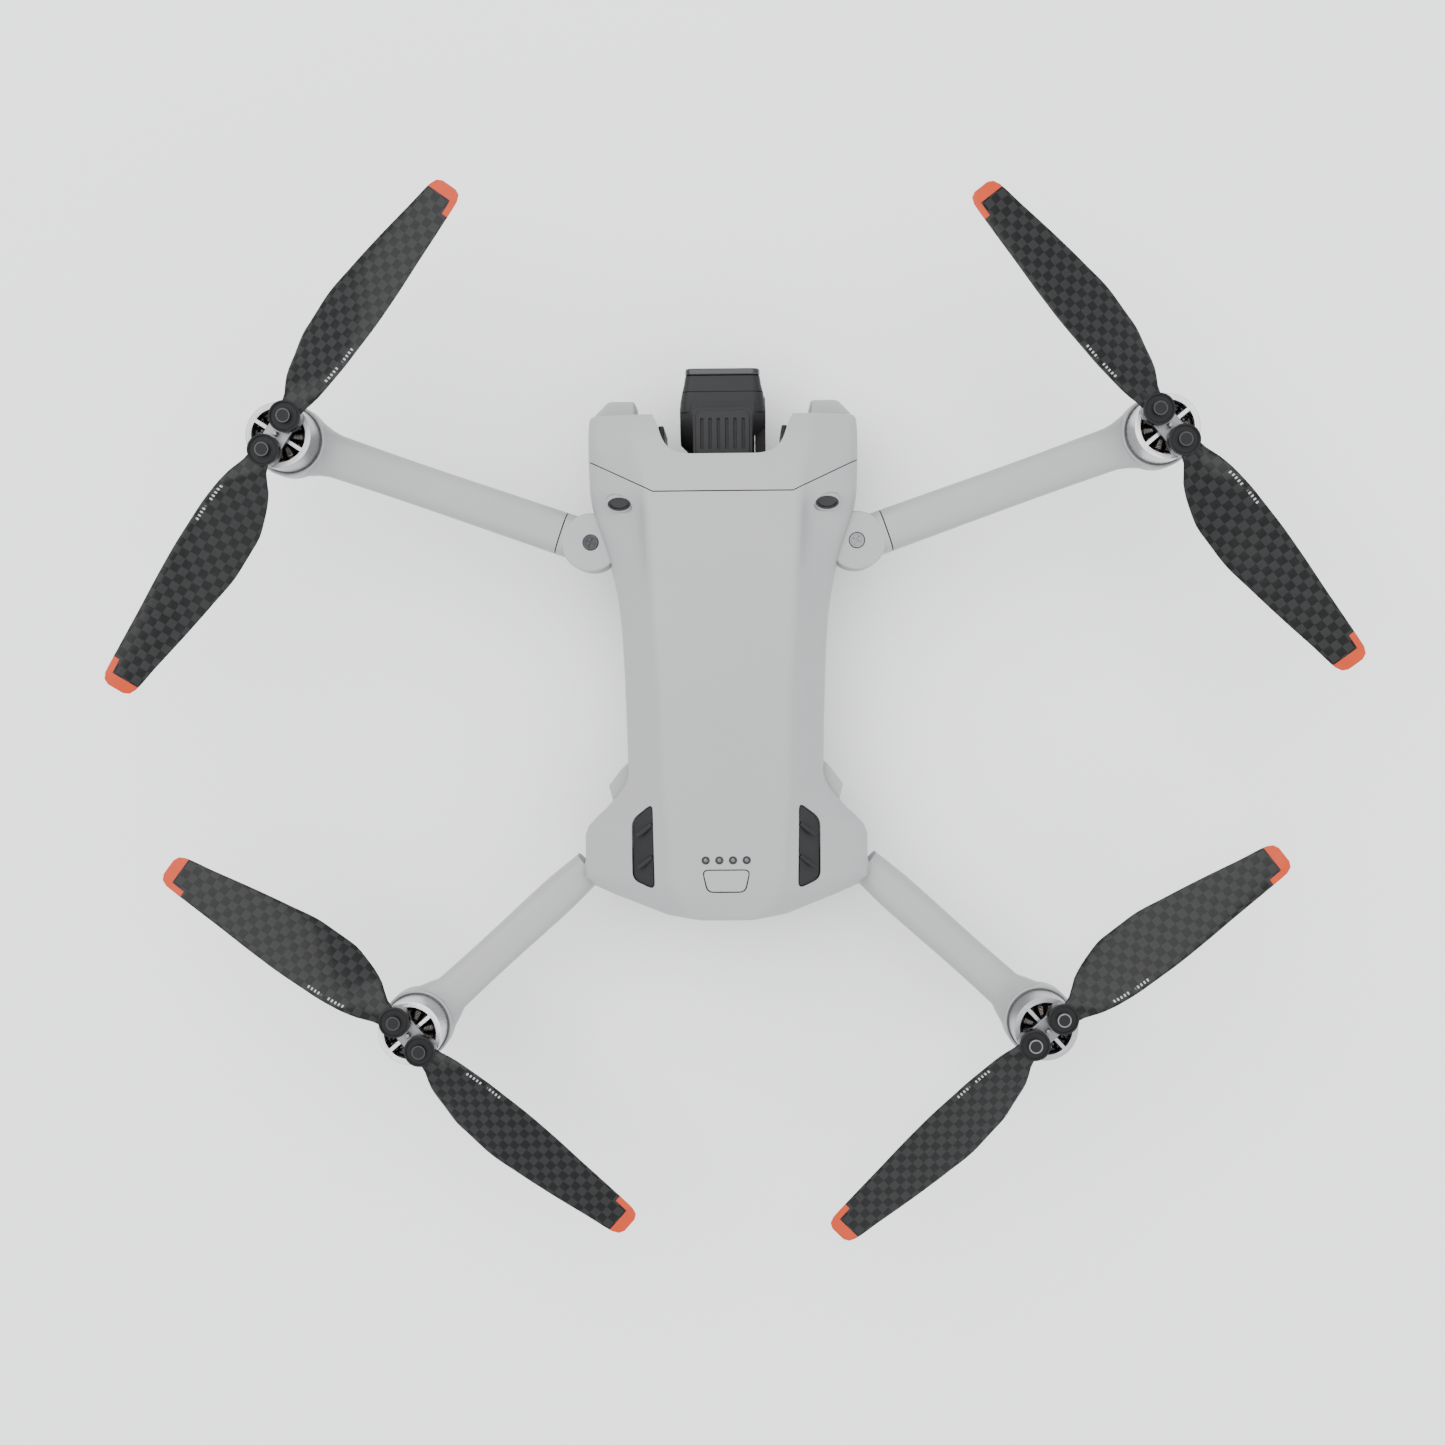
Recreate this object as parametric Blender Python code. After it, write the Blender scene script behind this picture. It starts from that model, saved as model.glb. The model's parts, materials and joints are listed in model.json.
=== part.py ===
"""Folding quadcopter camera drone, in metres, +Z up.

The nose faces -Y and the drone's left is +X. The origin is the middle of the flat belly.
Sizes below are in millimetres and become metres when a mesh is finished.
"""

import math

import bmesh
import bpy
from mathutils import Matrix, Vector

MM = 0.001
OBJECT_NAME = "camera_quadcopter"
GAP = 0.3
FAR = 90.0
SIDES = {"left": 1, "right": -1}

# Body shells: y, half width, spine top, spine half width, flank beside the spine, shoulder, belly.
BODY_STATIONS = (
    (-65.9, 34.0, 43.5, 21.0, 43.0, 38.0, 9.0),
    (-61.0, 35.2, 46.5, 20.6, 46.0, 40.5, 6.0),
    (-54.0, 35.2, 48.2, 20.2, 47.4, 41.0, 3.0),
    (-45.4, 34.9, 49.3, 20.0, 47.2, 41.5, 0.5),
    (-40.2, 34.0, 49.7, 19.8, 43.6, 38.4, 0.0),
    (-34.0, 32.0, 49.9, 19.5, 43.8, 38.0, 0.0),
    (-26.6, 29.7, 50.0, 19.0, 44.8, 38.0, 0.0),
    (-12.8, 27.4, 50.0, 18.5, 45.6, 37.4, 0.0),
    (4.7, 26.5, 49.6, 17.3, 46.0, 37.0, 0.0),
    (27.4, 26.0, 48.2, 16.3, 45.6, 36.0, 0.0),
    (34.5, 30.0, 47.6, 15.9, 45.0, 33.8, 0.0),
    (44.0, 38.2, 46.6, 15.1, 44.2, 32.8, 0.0),
    (55.5, 38.2, 44.6, 14.6, 42.8, 32.8, 0.0),
    (58.0, 34.5, 44.0, 13.6, 42.2, 33.4, 0.0),
    (61.8, 24.8, 42.6, 11.0, 41.4, 35.0, 1.5),
    (64.9, 16.3, 41.2, 8.0, 40.4, 36.6, 4.0),
    (66.2, 8.0, 40.0, 4.0, 39.6, 37.6, 7.0),
)
TAIL_START_Y = 57.0
WALL = 1.4
BELT_Z = 30.5
BELLY_FLAT = 0.74
SHOULDER_SHARE = 0.94
VALLEY_WIDTH = 2.2

# Nose cover seam and the camera notch in it.
SEAM_Y = -45.7
SEAM_HALF = 18.0
SEAM_SLOPE = 0.5
NOTCH_HALF = 15.3
NOTCH_MOUTH_HALF = 21.8
NOTCH_LIP_Y = -55.2
NOTCH_LIP_HALF = 9.9
NOTCH_BACK_Y = -46.5
NOTCH_LIP_Z = 41.0
EAR_FRONT_Y = -65.9
LINER_WALL = 1.4
LINER_Z = (11.0, 40.6)

# Forward vision housings under the ears, and the vision windows.
TAB_X = (22.5, 33.0)
TAB_Y = (-71.0, -63.0)
TAB_Z = (12.0, 29.0)
FORWARD_WINDOW_RADIUS = 3.6
REAR_WINDOW_CENTRE = (26.9, -42.8, 43.0)
REAR_WINDOW_RADIUS = 3.0
REAR_WINDOW_TILT = 40.0
BELLY_WINDOW_SIZE = (22.0, 9.0)
BELLY_WINDOW_Y = -34.0

# Tail vents and the power button with its lights.
VENT_INNER_X = 19.3
VENT_OUTER_X = 24.4
VENT_Y = (35.0, 57.5)
VENT_SLANT = 5.5
VENT_REAR_SLANT = 0.45
VENT_DEPTH = 1.0
VENT_SUNK = 0.5
VENT_STEPS = 9
LIGHT_PITCH = 3.54
LIGHT_RADIUS = 0.7
LIGHT_Y = 49.6
LIGHT_COUNT = 4
BUTTON_Y = (52.3, 58.0)
BUTTON_HALF = (6.1, 4.9)
BUTTON_HEIGHT = 4.0
BUTTON_PROUD = 0.4

# Battery in its bay, with the two squeeze latches in its end cap.
BATTERY_Z = (5.5, 27.5)
BATTERY_FRONT_Y = -24.0
CAP_HALF = 21.0
BATTERY_HALF = CAP_HALF - 1.5
CAP_Z = (4.6, 29.6)
CAP_FRONT_Y = 52.0
LATCH_SIZE = (1.6, 3.6, 9.0)
LATCH_Y = 60.2
LATCH_POCKET = 3.2
FINGER_RECESS = (27.5, 59.2, 7.0)

# Front arms, which turn about an upright hinge screw.
FRONT_PIVOT = (35.0, -33.4)
FRONT_SWEEP = 19.0
FRONT_LENGTH = 81.0
KNUCKLE_RADIUS = 7.7
KNUCKLE_Z = (22.0, 35.0)
KNUCKLE_SEAM = 8.2
LUG_Z = (14.0, 21.7)
LUG_RADIUS = 6.0
FRONT_SCREW_RADIUS = 1.3
FRONT_SCREW_HEAD = 1.9
FRONT_SCREW_HEAD_DEPTH = 1.2

# Rear arms, which turn half a revolution about a level pin that leans forward.
REAR_PIVOT = (34.5, 51.0, 22.0)
REAR_SWEEP = 41.8
REAR_AXIS_ANGLE = -19.3
REAR_LENGTH = 64.5
REAR_DISC_RADIUS = 7.5
REAR_DISC_T = (-6.0, 3.0)
REAR_PIN_RADIUS = 1.6
REAR_PIN_T = (-12.0, 1.4)
BRACKET_T = (-11.6, -6.4)
BRACKET_HALF = 4.2
BRACKET_Z = (9.0, 28.5)
RELIEF_MOUTH = 27.0
RELIEF_DEPTH = 14.0

# Motors, measured up from the rim of the pod that holds each one.
POD_HEIGHT = 8.0
POD_RECESS = 1.5
POD_LIP = 0.6
FRONT_RIM_Z = 46.5
REAR_RIM_Z = 34.5
BELL_RADIUS = 8.3
BELL_WALL = 1.0
POD_RADIUS = BELL_RADIUS + BELL_WALL
BELL_Z = (0.3, 11.5)
BELL_WEB = 1.9
SPOKES = 4
BELL_SEGMENTS = 24
STATOR_RADIUS = BELL_RADIUS - BELL_WALL - 0.4
STATOR_TOP = 9.2
TEETH = 12
SHAFT_RADIUS = 1.0
MOUNT_Z = (11.8, 13.5)
BLADE_PIVOT = 4.95
BLADE_ROOT_RADIUS = 3.95
BLADE_ROOT_HEIGHT = 3.0
HUB_BOSS_RADIUS = 0.65
CLAMP_PIN_RADIUS = 1.15
CLAMP_HEAD_RADIUS = 1.85
CLAMP_HEAD_HEIGHT = 1.2
PROP_PLANE = MOUNT_Z[1] + GAP + BLADE_ROOT_HEIGHT / 2

# Propeller blade: distance from the clamp screw, leading side, trailing side, pitch, thickness.
BLADE_STATIONS = (
    (2.0, 2.6, 2.6, 0.0, 2.2),
    (4.6, 3.3, 3.8, 2.0, 2.0),
    (8.5, 4.6, 6.6, 17.0, 1.8),
    (14.0, 5.8, 9.2, 26.0, 1.6),
    (21.0, 6.3, 10.9, 25.0, 1.4),
    (29.5, 6.3, 10.9, 21.0, 1.2),
    (40.0, 5.9, 9.5, 17.0, 1.1),
    (50.5, 5.2, 7.8, 14.0, 1.0),
    (61.0, 4.6, 5.9, 11.5, 0.9),
    (67.5, 4.1, 4.7, 10.5, 0.8),
    (70.5, 3.3, 3.4, 10.0, 0.7),
)

# Rotors: name, arm, clockwise, line through the two clamp screws, lag of blade a and of blade b.
ROTORS = (
    ("front_left", "front", 1, True, 56.7, 0.5, -2.9),
    ("front_right", "front", -1, False, 129.5, -2.3, -1.2),
    ("rear_left", "rear", 1, False, 130.6, 8.8, 14.3),
    ("rear_right", "rear", -1, True, 42.4, 1.5, -5.9),
)

# Gimbal: three axes that cross behind the lens.
YAW_AXIS_Y = -58.0
YAW_HOUSING_Z = (37.2, 40.8)
YAW_HOUSING_HALF = 7.8
YAW_HOUSING_FRONT_Y = -65.5
YAW_PLATE_Z = (35.9, 36.9)
ROLL_MOTOR_Y = (-52.6, -48.6)
ROLL_MOTOR_RADIUS = 6.0
CAMERA_Y = -67.0
CAMERA_Z = 24.0
CAMERA_BACK_RADIUS = 10.4
CAMERA_FRONT_Y = -79.0
CAMERA_HALF = 11.3
CAMERA_FRONT_HALF = 9.7
CAMERA_FRONT_HEIGHT = 9.0
CAMERA_EDGE = 3.0
CAMERA_ARM_X = 8.3
ROLL_ARM_X = (8.6, 11.3)
ROLL_ARM_Z = (20.0, 28.0)
ROLL_ARM_BACK_Y = (-55.9, -54.2)
LENS_RADIUS = 5.2

# Boards inside the upper shell.
BOARD_HALF = 17.0
BOARD_Y = (-36.0, 44.0)
BOARD_Z = (32.6, 34.2)
SINK_Y = (-30.0, 8.0)
SINK_HALF = 13.0
SINK_Z = (34.5, 37.0)
FIN_TOP = 43.0
FIN_COUNT = 7
FAN_Y = 24.0
FAN_RADIUS = 11.0
FAN_Z = (34.5, 41.5)


def clear_scene():
    for obj in list(bpy.data.objects):
        bpy.data.objects.remove(obj, do_unlink=True)


def make_collection(name):
    collection = bpy.data.collections.new(name)
    bpy.context.scene.collection.children.link(collection)
    return collection


def make_material(name, colour, roughness, metallic=0.0):
    material = bpy.data.materials.new(name)
    material.use_nodes = True
    shader = material.node_tree.nodes["Principled BSDF"]
    shader.inputs["Base Color"].default_value = (*colour, 1.0)
    shader.inputs["Roughness"].default_value = roughness
    shader.inputs["Metallic"].default_value = metallic
    material.diffuse_color = (*colour, 1.0)
    return material


def finish_mesh(bm, name):
    bm.normal_update()
    bmesh.ops.recalc_face_normals(bm, faces=bm.faces)
    bmesh.ops.scale(bm, vec=Vector((MM, MM, MM)), verts=bm.verts)
    mesh = bpy.data.meshes.new(name)
    bm.to_mesh(mesh)
    bm.free()
    mesh.shade_smooth()
    mesh.set_sharp_from_angle(angle=math.radians(35))
    return mesh


def add_part(mesh, name, material, parent=None):
    obj = bpy.data.objects.new(name, mesh)
    PARTS.objects.link(obj)
    obj.data.materials.append(material)
    obj.parent = parent
    return obj


def add_cutter(mesh, name, parent=None):
    obj = bpy.data.objects.new(name, mesh)
    CUTTERS.objects.link(obj)
    obj.hide_render = True
    obj.display_type = "WIRE"
    obj.parent = parent
    return obj


def add_axis(name, place, turn=0.0, parent=None):
    axis = bpy.data.objects.new(name, None)
    PARTS.objects.link(axis)
    axis.empty_display_size = 5 * MM
    axis.location = Vector(place) * MM
    axis.rotation_euler.z = math.radians(turn)
    axis.parent = parent
    return axis


def combine(obj, other, operation):
    modifier = obj.modifiers.new(other.name, "BOOLEAN")
    modifier.operation = operation
    modifier.object = other
    modifier.solver = "EXACT"


def carve(obj, *others):
    for other in others:
        combine(obj, other, "DIFFERENCE")


def fuse(obj, *others):
    for other in others:
        combine(obj, other, "UNION")


def box(low, high, bm=None):
    bm = bm or bmesh.new()
    size = [b - a for a, b in zip(low, high)]
    middle = [(a + b) / 2 for a, b in zip(low, high)]
    matrix = Matrix.Translation(middle) @ Matrix.Diagonal((*size, 1.0))
    bmesh.ops.create_cube(bm, size=1.0, matrix=matrix)
    return bm


def rod(radius, z_range, centre=(0.0, 0.0), segments=24, top_radius=None, bm=None):
    """An upright cylinder or cone."""
    bm = bm or bmesh.new()
    middle = sum(z_range) / 2
    top_radius = radius if top_radius is None else top_radius
    bmesh.ops.create_cone(
        bm,
        cap_ends=True,
        segments=segments,
        radius1=radius,
        radius2=top_radius,
        depth=z_range[1] - z_range[0],
        matrix=Matrix.Translation((*centre, middle)),
    )
    return bm


def rod_along(direction, radius, t_range, origin, segments=24, top_radius=None):
    """A cylinder or cone along a direction, between two distances from an origin."""
    bm = rod(radius, t_range, segments=segments, top_radius=top_radius)
    turn = Vector((0, 0, 1)).rotation_difference(Vector(direction)).to_matrix().to_4x4()
    bm.transform(Matrix.Translation(origin) @ turn)
    return bm


def prism(outline, z_range):
    """An upright solid over a flat outline."""
    bm = bmesh.new()
    corners = [bm.verts.new((x, y, z_range[0])) for x, y in outline]
    base = bm.faces.new(corners)
    grown = bmesh.ops.extrude_face_region(bm, geom=[base])
    tops = [item for item in grown["geom"] if isinstance(item, bmesh.types.BMVert)]
    bmesh.ops.translate(bm, verts=tops, vec=(0, 0, z_range[1] - z_range[0]))
    return bm


def loft(rings):
    """Skins matching closed rings of points and caps both ends."""
    bm = bmesh.new()
    rows = [[bm.verts.new(point) for point in ring] for ring in rings]
    count = len(rows[0])
    for near, far in zip(rows, rows[1:]):
        for i in range(count):
            j = (i + 1) % count
            bm.faces.new((near[i], near[j], far[j], far[i]))
    bm.faces.new(rows[0])
    bm.faces.new(rows[-1][::-1])
    return bm


def mirrored(outline):
    return list(outline) + [(-x, y) for x, y in reversed(outline) if abs(x) > 1e-6]


def body_ring(station, inset, y):
    width, top, spine, flank, shoulder, belly = station[1:]
    w = width - inset
    half = [
        (0.0, belly + inset),
        (BELLY_FLAT * w, belly + inset),
        (0.955 * w, belly + 6.0),
        (w, belly + 13.0),
        (w, shoulder - 3.0),
        (SHOULDER_SHARE * w, shoulder - inset * 0.8),
        (spine + VALLEY_WIDTH, flank - inset),
        (spine, top - 0.4 - inset),
        (0.0, top - inset),
    ]
    ring = half + [(-x, z) for x, z in reversed(half[1:-1])]
    return [(x, y, z) for x, z in ring]


def body_loft(inset):
    rings = []
    last = len(BODY_STATIONS) - 1
    for i, station in enumerate(BODY_STATIONS):
        y = station[0]
        if i == 0:
            y += inset
        elif i == last or y > TAIL_START_Y:
            y -= inset
        rings.append(body_ring(station, inset, y))
    return finish_mesh(loft(rings), "body_form")


def seam_outline(shift):
    run = FAR - SEAM_HALF
    return [
        (SEAM_HALF, SEAM_Y + shift),
        (FAR, SEAM_Y + shift - SEAM_SLOPE * run),
        (FAR, -2 * FAR),
        (-FAR, -2 * FAR),
        (-FAR, SEAM_Y + shift - SEAM_SLOPE * run),
        (-SEAM_HALF, SEAM_Y + shift),
    ]


def notch_lip_outline():
    half = [
        (NOTCH_LIP_HALF, NOTCH_LIP_Y),
        (NOTCH_HALF - 1.4, NOTCH_LIP_Y - 1.6),
        (NOTCH_HALF, NOTCH_LIP_Y - 3.6),
        (NOTCH_HALF + 1.3, EAR_FRONT_Y + 2.7),
        (NOTCH_MOUTH_HALF, EAR_FRONT_Y - 0.6),
        (NOTCH_MOUTH_HALF, -FAR),
    ]
    return mirrored(half)


def make_shells(white):
    solid = body_loft(0.0)
    hollow = body_loft(WALL)
    hollow_cutter = add_cutter(hollow, "shell_hollow")
    below = add_cutter(finish_mesh(box((-FAR, -FAR, -FAR), (FAR, FAR, BELT_Z)), "below"), "below_belt")
    above = add_cutter(
        finish_mesh(box((-FAR, -FAR, BELT_Z - GAP), (FAR, FAR, FAR)), "above"), "above_belt"
    )
    seam_front = add_cutter(finish_mesh(prism(seam_outline(0.0), (0, FAR)), "seam"), "seam_front")
    seam_gap = add_cutter(finish_mesh(prism(seam_outline(GAP), (0, FAR)), "seam_gap"), "seam_gap")
    lip = add_cutter(finish_mesh(prism(notch_lip_outline(), (-5, FAR)), "notch_lip"), "notch_lip")
    well = box((-NOTCH_HALF, -FAR, -5.0), (NOTCH_HALF, NOTCH_BACK_Y, NOTCH_LIP_Z))
    well = add_cutter(finish_mesh(well, "notch_well"), "notch_well")

    upper = add_part(solid.copy(), "upper_shell", white)
    carve(upper, hollow_cutter, below, seam_gap)
    nose = add_part(solid.copy(), "nose_cover", white)
    carve(nose, hollow_cutter, below)
    combine(nose, seam_front, "INTERSECT")
    carve(nose, lip, well)
    lower = add_part(solid.copy(), "lower_shell", white)
    carve(lower, hollow_cutter, above, lip, well)

    battery_hole = box(
        (-CAP_HALF - GAP, CAP_FRONT_Y, CAP_Z[0] - GAP), (CAP_HALF + GAP, FAR, BELT_Z + 1)
    )
    carve(lower, add_cutter(finish_mesh(battery_hole, "battery_hole"), "battery_hole"))
    reach, start, half = FINGER_RECESS
    middle = sum(CAP_Z) / 2
    recess = box((-reach, start, middle - half), (reach, FAR, middle + half))
    carve(lower, add_cutter(finish_mesh(recess, "recess"), "finger_recess"))
    for side, sign in SIDES.items():
        centre = (sign * FRONT_PIVOT[0], FRONT_PIVOT[1])
        recess = rod(KNUCKLE_RADIUS + 0.4, (LUG_Z[1], KNUCKLE_Z[1] + GAP), centre, 24)
        recess = add_cutter(finish_mesh(recess, "recess"), f"knuckle_recess_{side}")
        carve(upper, recess)
        lug = rod(LUG_RADIUS, LUG_Z, centre, 24)
        lug = add_cutter(finish_mesh(lug, "lug"), f"lug_{side}")
        tab = box(
            (min(sign * x for x in TAB_X), TAB_Y[0], TAB_Z[0]),
            (max(sign * x for x in TAB_X), TAB_Y[1], TAB_Z[1]),
        )
        tab = add_cutter(finish_mesh(tab, "tab"), f"vision_tab_{side}")
        fuse(lower, lug, tab)
        hole = rod(FRONT_SCREW_RADIUS + GAP, (LUG_Z[0] + 1.5, KNUCKLE_Z[1]), centre, 16)
        hole = add_cutter(finish_mesh(hole, "hole"), f"lug_hole_{side}")
        relief = rod_along(
            rear_axis(sign),
            REAR_DISC_RADIUS + 0.6,
            (REAR_DISC_T[0] - 0.3, REAR_DISC_T[0] - 0.3 + RELIEF_DEPTH),
            (sign * REAR_PIVOT[0], *REAR_PIVOT[1:]),
            24,
            RELIEF_MOUTH,
        )
        relief = add_cutter(finish_mesh(relief, "relief"), f"arm_relief_{side}")
        carve(lower, recess, hole, relief)
    return upper, nose, lower


def rear_axis(sign):
    angle = math.radians(REAR_AXIS_ANGLE)
    return Vector((sign * math.cos(angle), math.sin(angle), 0.0))


def make_vision_windows(upper, lower, glass):
    tilt = math.radians(REAR_WINDOW_TILT)
    for side, sign in SIDES.items():
        x, y, z = REAR_WINDOW_CENTRE
        direction = Vector((0.0, math.sin(tilt), math.cos(tilt)))
        place = Vector((sign * x, y, z))
        pocket = rod_along(direction, REAR_WINDOW_RADIUS + GAP, (-1.6, 6.0), place, 16)
        carve(upper, add_cutter(finish_mesh(pocket, "pocket"), f"rear_window_pocket_{side}"))
        window = rod_along(direction, REAR_WINDOW_RADIUS, (-1.3, 0.0), place, 24)
        add_part(finish_mesh(window, "window"), f"rear_vision_window_{side}", glass)
        middle = (sign * sum(TAB_X) / 2, TAB_Y[0], sum(TAB_Z) / 2)
        pocket = rod_along((0, -1, 0), FORWARD_WINDOW_RADIUS + GAP, (-2.0, 3.0), middle, 24)
        carve(lower, add_cutter(finish_mesh(pocket, "pocket"), f"front_window_pocket_{side}"))
        window = rod_along((0, -1, 0), FORWARD_WINDOW_RADIUS, (-1.7, 0.0), middle, 24)
        add_part(finish_mesh(window, "window"), f"front_vision_window_{side}", glass)
    half_x, half_y = BELLY_WINDOW_SIZE[0] / 2, BELLY_WINDOW_SIZE[1] / 2
    hole = box(
        (-half_x - GAP, BELLY_WINDOW_Y - half_y - GAP, -1.0),
        (half_x + GAP, BELLY_WINDOW_Y + half_y + GAP, WALL + 1.0),
    )
    carve(lower, add_cutter(finish_mesh(hole, "hole"), "belly_window_hole"))
    window = box(
        (-half_x, BELLY_WINDOW_Y - half_y, 0.4), (half_x, BELLY_WINDOW_Y + half_y, 2.2)
    )
    add_part(finish_mesh(window, "window"), "belly_vision_window", glass)


def vent_outline(sign, grow):
    inner = VENT_INNER_X - grow
    outer = VENT_OUTER_X + grow
    start, end = VENT_Y[0] - grow, VENT_Y[1] + grow
    slant = VENT_SLANT
    return [
        (sign * inner, start),
        (sign * inner, end),
        (sign * outer, end - slant * VENT_REAR_SLANT),
        (sign * outer, start + slant),
    ]


def shell_height(x, y):
    """Height of the sloping roof between the spine and the shoulder."""
    for near, far in zip(BODY_STATIONS, BODY_STATIONS[1:]):
        if near[0] <= y <= far[0]:
            break
    share = (y - near[0]) / (far[0] - near[0])
    width, spine, flank, shoulder = (near[i] + share * (far[i] - near[i]) for i in (1, 3, 4, 5))
    inner, outer = spine + VALLEY_WIDTH, SHOULDER_SHARE * width
    return flank + (x - inner) / (outer - inner) * (shoulder - flank)


def vent_ring(sign, share):
    """An upright section along the vent, from its inner edge at 0 to its outer edge at 1."""
    x = VENT_INNER_X + share * (VENT_OUTER_X - VENT_INNER_X)
    start = VENT_Y[0] + share * VENT_SLANT
    end = VENT_Y[1] - share * VENT_SLANT * VENT_REAR_SLANT
    top, under = [], []
    for i in range(VENT_STEPS + 1):
        y = start + (end - start) * i / VENT_STEPS
        z = shell_height(x, y)
        top.append((sign * x, y, z - VENT_SUNK))
        under.append((sign * x, y, z - WALL - VENT_DEPTH))
    return top + under[::-1]


def make_vents(upper, dark):
    """Each vent is a plate that follows the shell, a little below its surface."""
    for side, sign in SIDES.items():
        opening = finish_mesh(prism(vent_outline(sign, GAP), (36.0, FAR)), "opening")
        carve(upper, add_cutter(opening, f"vent_opening_{side}"))
        vent = finish_mesh(loft([vent_ring(sign, share) for share in (0.0, 0.5, 1.0)]), "vent")
        vent = add_part(vent, f"vent_{side}", dark)
        for place in (0.3, 0.65):
            y = VENT_Y[0] + place * (VENT_Y[1] - VENT_Y[0]) + 1.0
            slat = box((-2.6, -0.45, 36.0), (2.0, 0.45, FAR))
            slat.transform(
                Matrix.Translation((sign * (VENT_INNER_X + VENT_OUTER_X) / 2, y, 0.0))
                @ Matrix.Rotation(math.radians(38.0 * sign), 4, "Z")
            )
            slat_cutter = add_cutter(finish_mesh(slat, "slat"), f"vent_slat_{side}_{place}")
            carve(vent, slat_cutter)


def spine_top(y):
    """Height of the middle of the spine at a distance along the body."""
    for near, far in zip(BODY_STATIONS, BODY_STATIONS[1:]):
        if near[0] <= y <= far[0]:
            share = (y - near[0]) / (far[0] - near[0])
            return near[2] + share * (far[2] - near[2])
    return BODY_STATIONS[-1][2]


def make_button_and_lights(upper, white, light_glass):
    y0, y1 = BUTTON_Y
    wide, narrow = BUTTON_HALF
    hole = prism(
        mirrored([(wide + GAP, y0 - GAP), (narrow + GAP, y1 + GAP)]), (spine_top(y1) - 8.0, FAR)
    )
    carve(upper, add_cutter(finish_mesh(hole, "hole"), "button_hole"))
    top_front, top_rear = spine_top(y0) + BUTTON_PROUD, spine_top(y1) + BUTTON_PROUD
    rings = []
    for y, half, top in ((y0, wide, top_front), (y1, narrow, top_rear)):
        low = top - BUTTON_HEIGHT
        rings.append([(-half, y, low), (half, y, low), (half, y, top), (-half, y, top)])
    axis = add_axis("power_button_axis", (0, 0, 0))
    add_part(finish_mesh(loft(rings), "button"), "power_button", white, axis)

    top = spine_top(LIGHT_Y)
    reach = (LIGHT_COUNT - 1) / 2 * LIGHT_PITCH
    guide = box((-reach - 1.5, LIGHT_Y - 1.4, top - 4.2), (reach + 1.5, LIGHT_Y + 1.4, top - 2.2))
    guide = add_part(finish_mesh(guide, "guide"), "status_light_guide", light_glass)
    for i in range(LIGHT_COUNT):
        x = i * LIGHT_PITCH - reach
        hole = rod(LIGHT_RADIUS + GAP, (top - 2.0, top + 5.0), (x, LIGHT_Y), 12)
        carve(upper, add_cutter(finish_mesh(hole, "hole"), f"light_hole_{i}"))
        post = rod(LIGHT_RADIUS, (top - 3.0, top - 0.3), (x, LIGHT_Y), 12)
        fuse(guide, add_cutter(finish_mesh(post, "post"), f"light_post_{i}"))


def make_battery(lower, white, dark):
    axis = add_axis("battery_axis", (0, CAP_FRONT_Y, sum(BATTERY_Z) / 2))
    back = -CAP_FRONT_Y, -sum(BATTERY_Z) / 2
    core = box(
        (-BATTERY_HALF, BATTERY_FRONT_Y, BATTERY_Z[0]), (BATTERY_HALF, CAP_FRONT_Y + 2, BATTERY_Z[1])
    )
    pack = add_part(body_loft(0.0), "battery_pack", white, axis)
    pack.data.transform(Matrix.Translation((0, back[0] * MM, back[1] * MM)))
    cap = box((-CAP_HALF, CAP_FRONT_Y + GAP, CAP_Z[0]), (CAP_HALF, FAR, CAP_Z[1]))
    combine(pack, add_cutter(finish_mesh(cap, "cap"), "battery_cap_block"), "INTERSECT")
    fuse(pack, add_cutter(finish_mesh(core, "core"), "battery_core"))
    for side, sign in SIDES.items():
        thick, deep, high = LATCH_SIZE
        z = sum(CAP_Z) / 2
        outer = sign * CAP_HALF
        pocket = box(
            (min(outer - sign * LATCH_POCKET, outer + sign), LATCH_Y - deep / 2 - GAP, z - high / 2 - GAP),
            (max(outer - sign * LATCH_POCKET, outer + sign), LATCH_Y + deep / 2 + GAP, z + high / 2 + GAP),
        )
        carve(pack, add_cutter(finish_mesh(pocket, "pocket"), f"latch_pocket_{side}"))
        latch = box((-thick / 2, -deep / 2, -high / 2), (thick / 2, deep / 2, high / 2))
        latch_axis = add_axis(f"battery_latch_axis_{side}", (outer - sign * thick / 2, LATCH_Y, z))
        add_part(finish_mesh(latch, "latch"), f"battery_latch_{side}", dark, latch_axis)
    port_y = 12.0
    hole = box((-FAR, port_y - 8.0, 10.0), (-20.0, port_y + 8.0, 20.0))
    carve(lower, add_cutter(finish_mesh(hole, "hole"), "port_hole"))
    block = box((-26.2, port_y - 7.7, 10.3), (-21.0, port_y + 7.7, 19.7))
    block = add_part(finish_mesh(block, "block"), "port_block", dark)
    socket = box((-FAR, port_y - 5.5, 13.5), (-23.0, port_y + 3.5, 16.7))
    carve(block, add_cutter(finish_mesh(socket, "socket"), "charging_socket"))


def arm_ring(s, half_width, z_low, z_high):
    """A rounded section across an arm that runs along +X."""
    cut = 0.3
    dz = (z_high - z_low) * cut
    dy = half_width * 2 * cut * 0.6
    y = half_width
    return [
        (s, -y, z_low + dz),
        (s, -y + dy, z_low),
        (s, y - dy, z_low),
        (s, y, z_low + dz),
        (s, y, z_high - dz),
        (s, y - dy, z_high),
        (s, -y + dy, z_high),
        (s, -y, z_high - dz),
    ]


def pod_mesh(length, rim_z):
    return finish_mesh(rod(POD_RADIUS, (rim_z - POD_HEIGHT, rim_z), (length, 0), 24), "pod")


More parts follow.
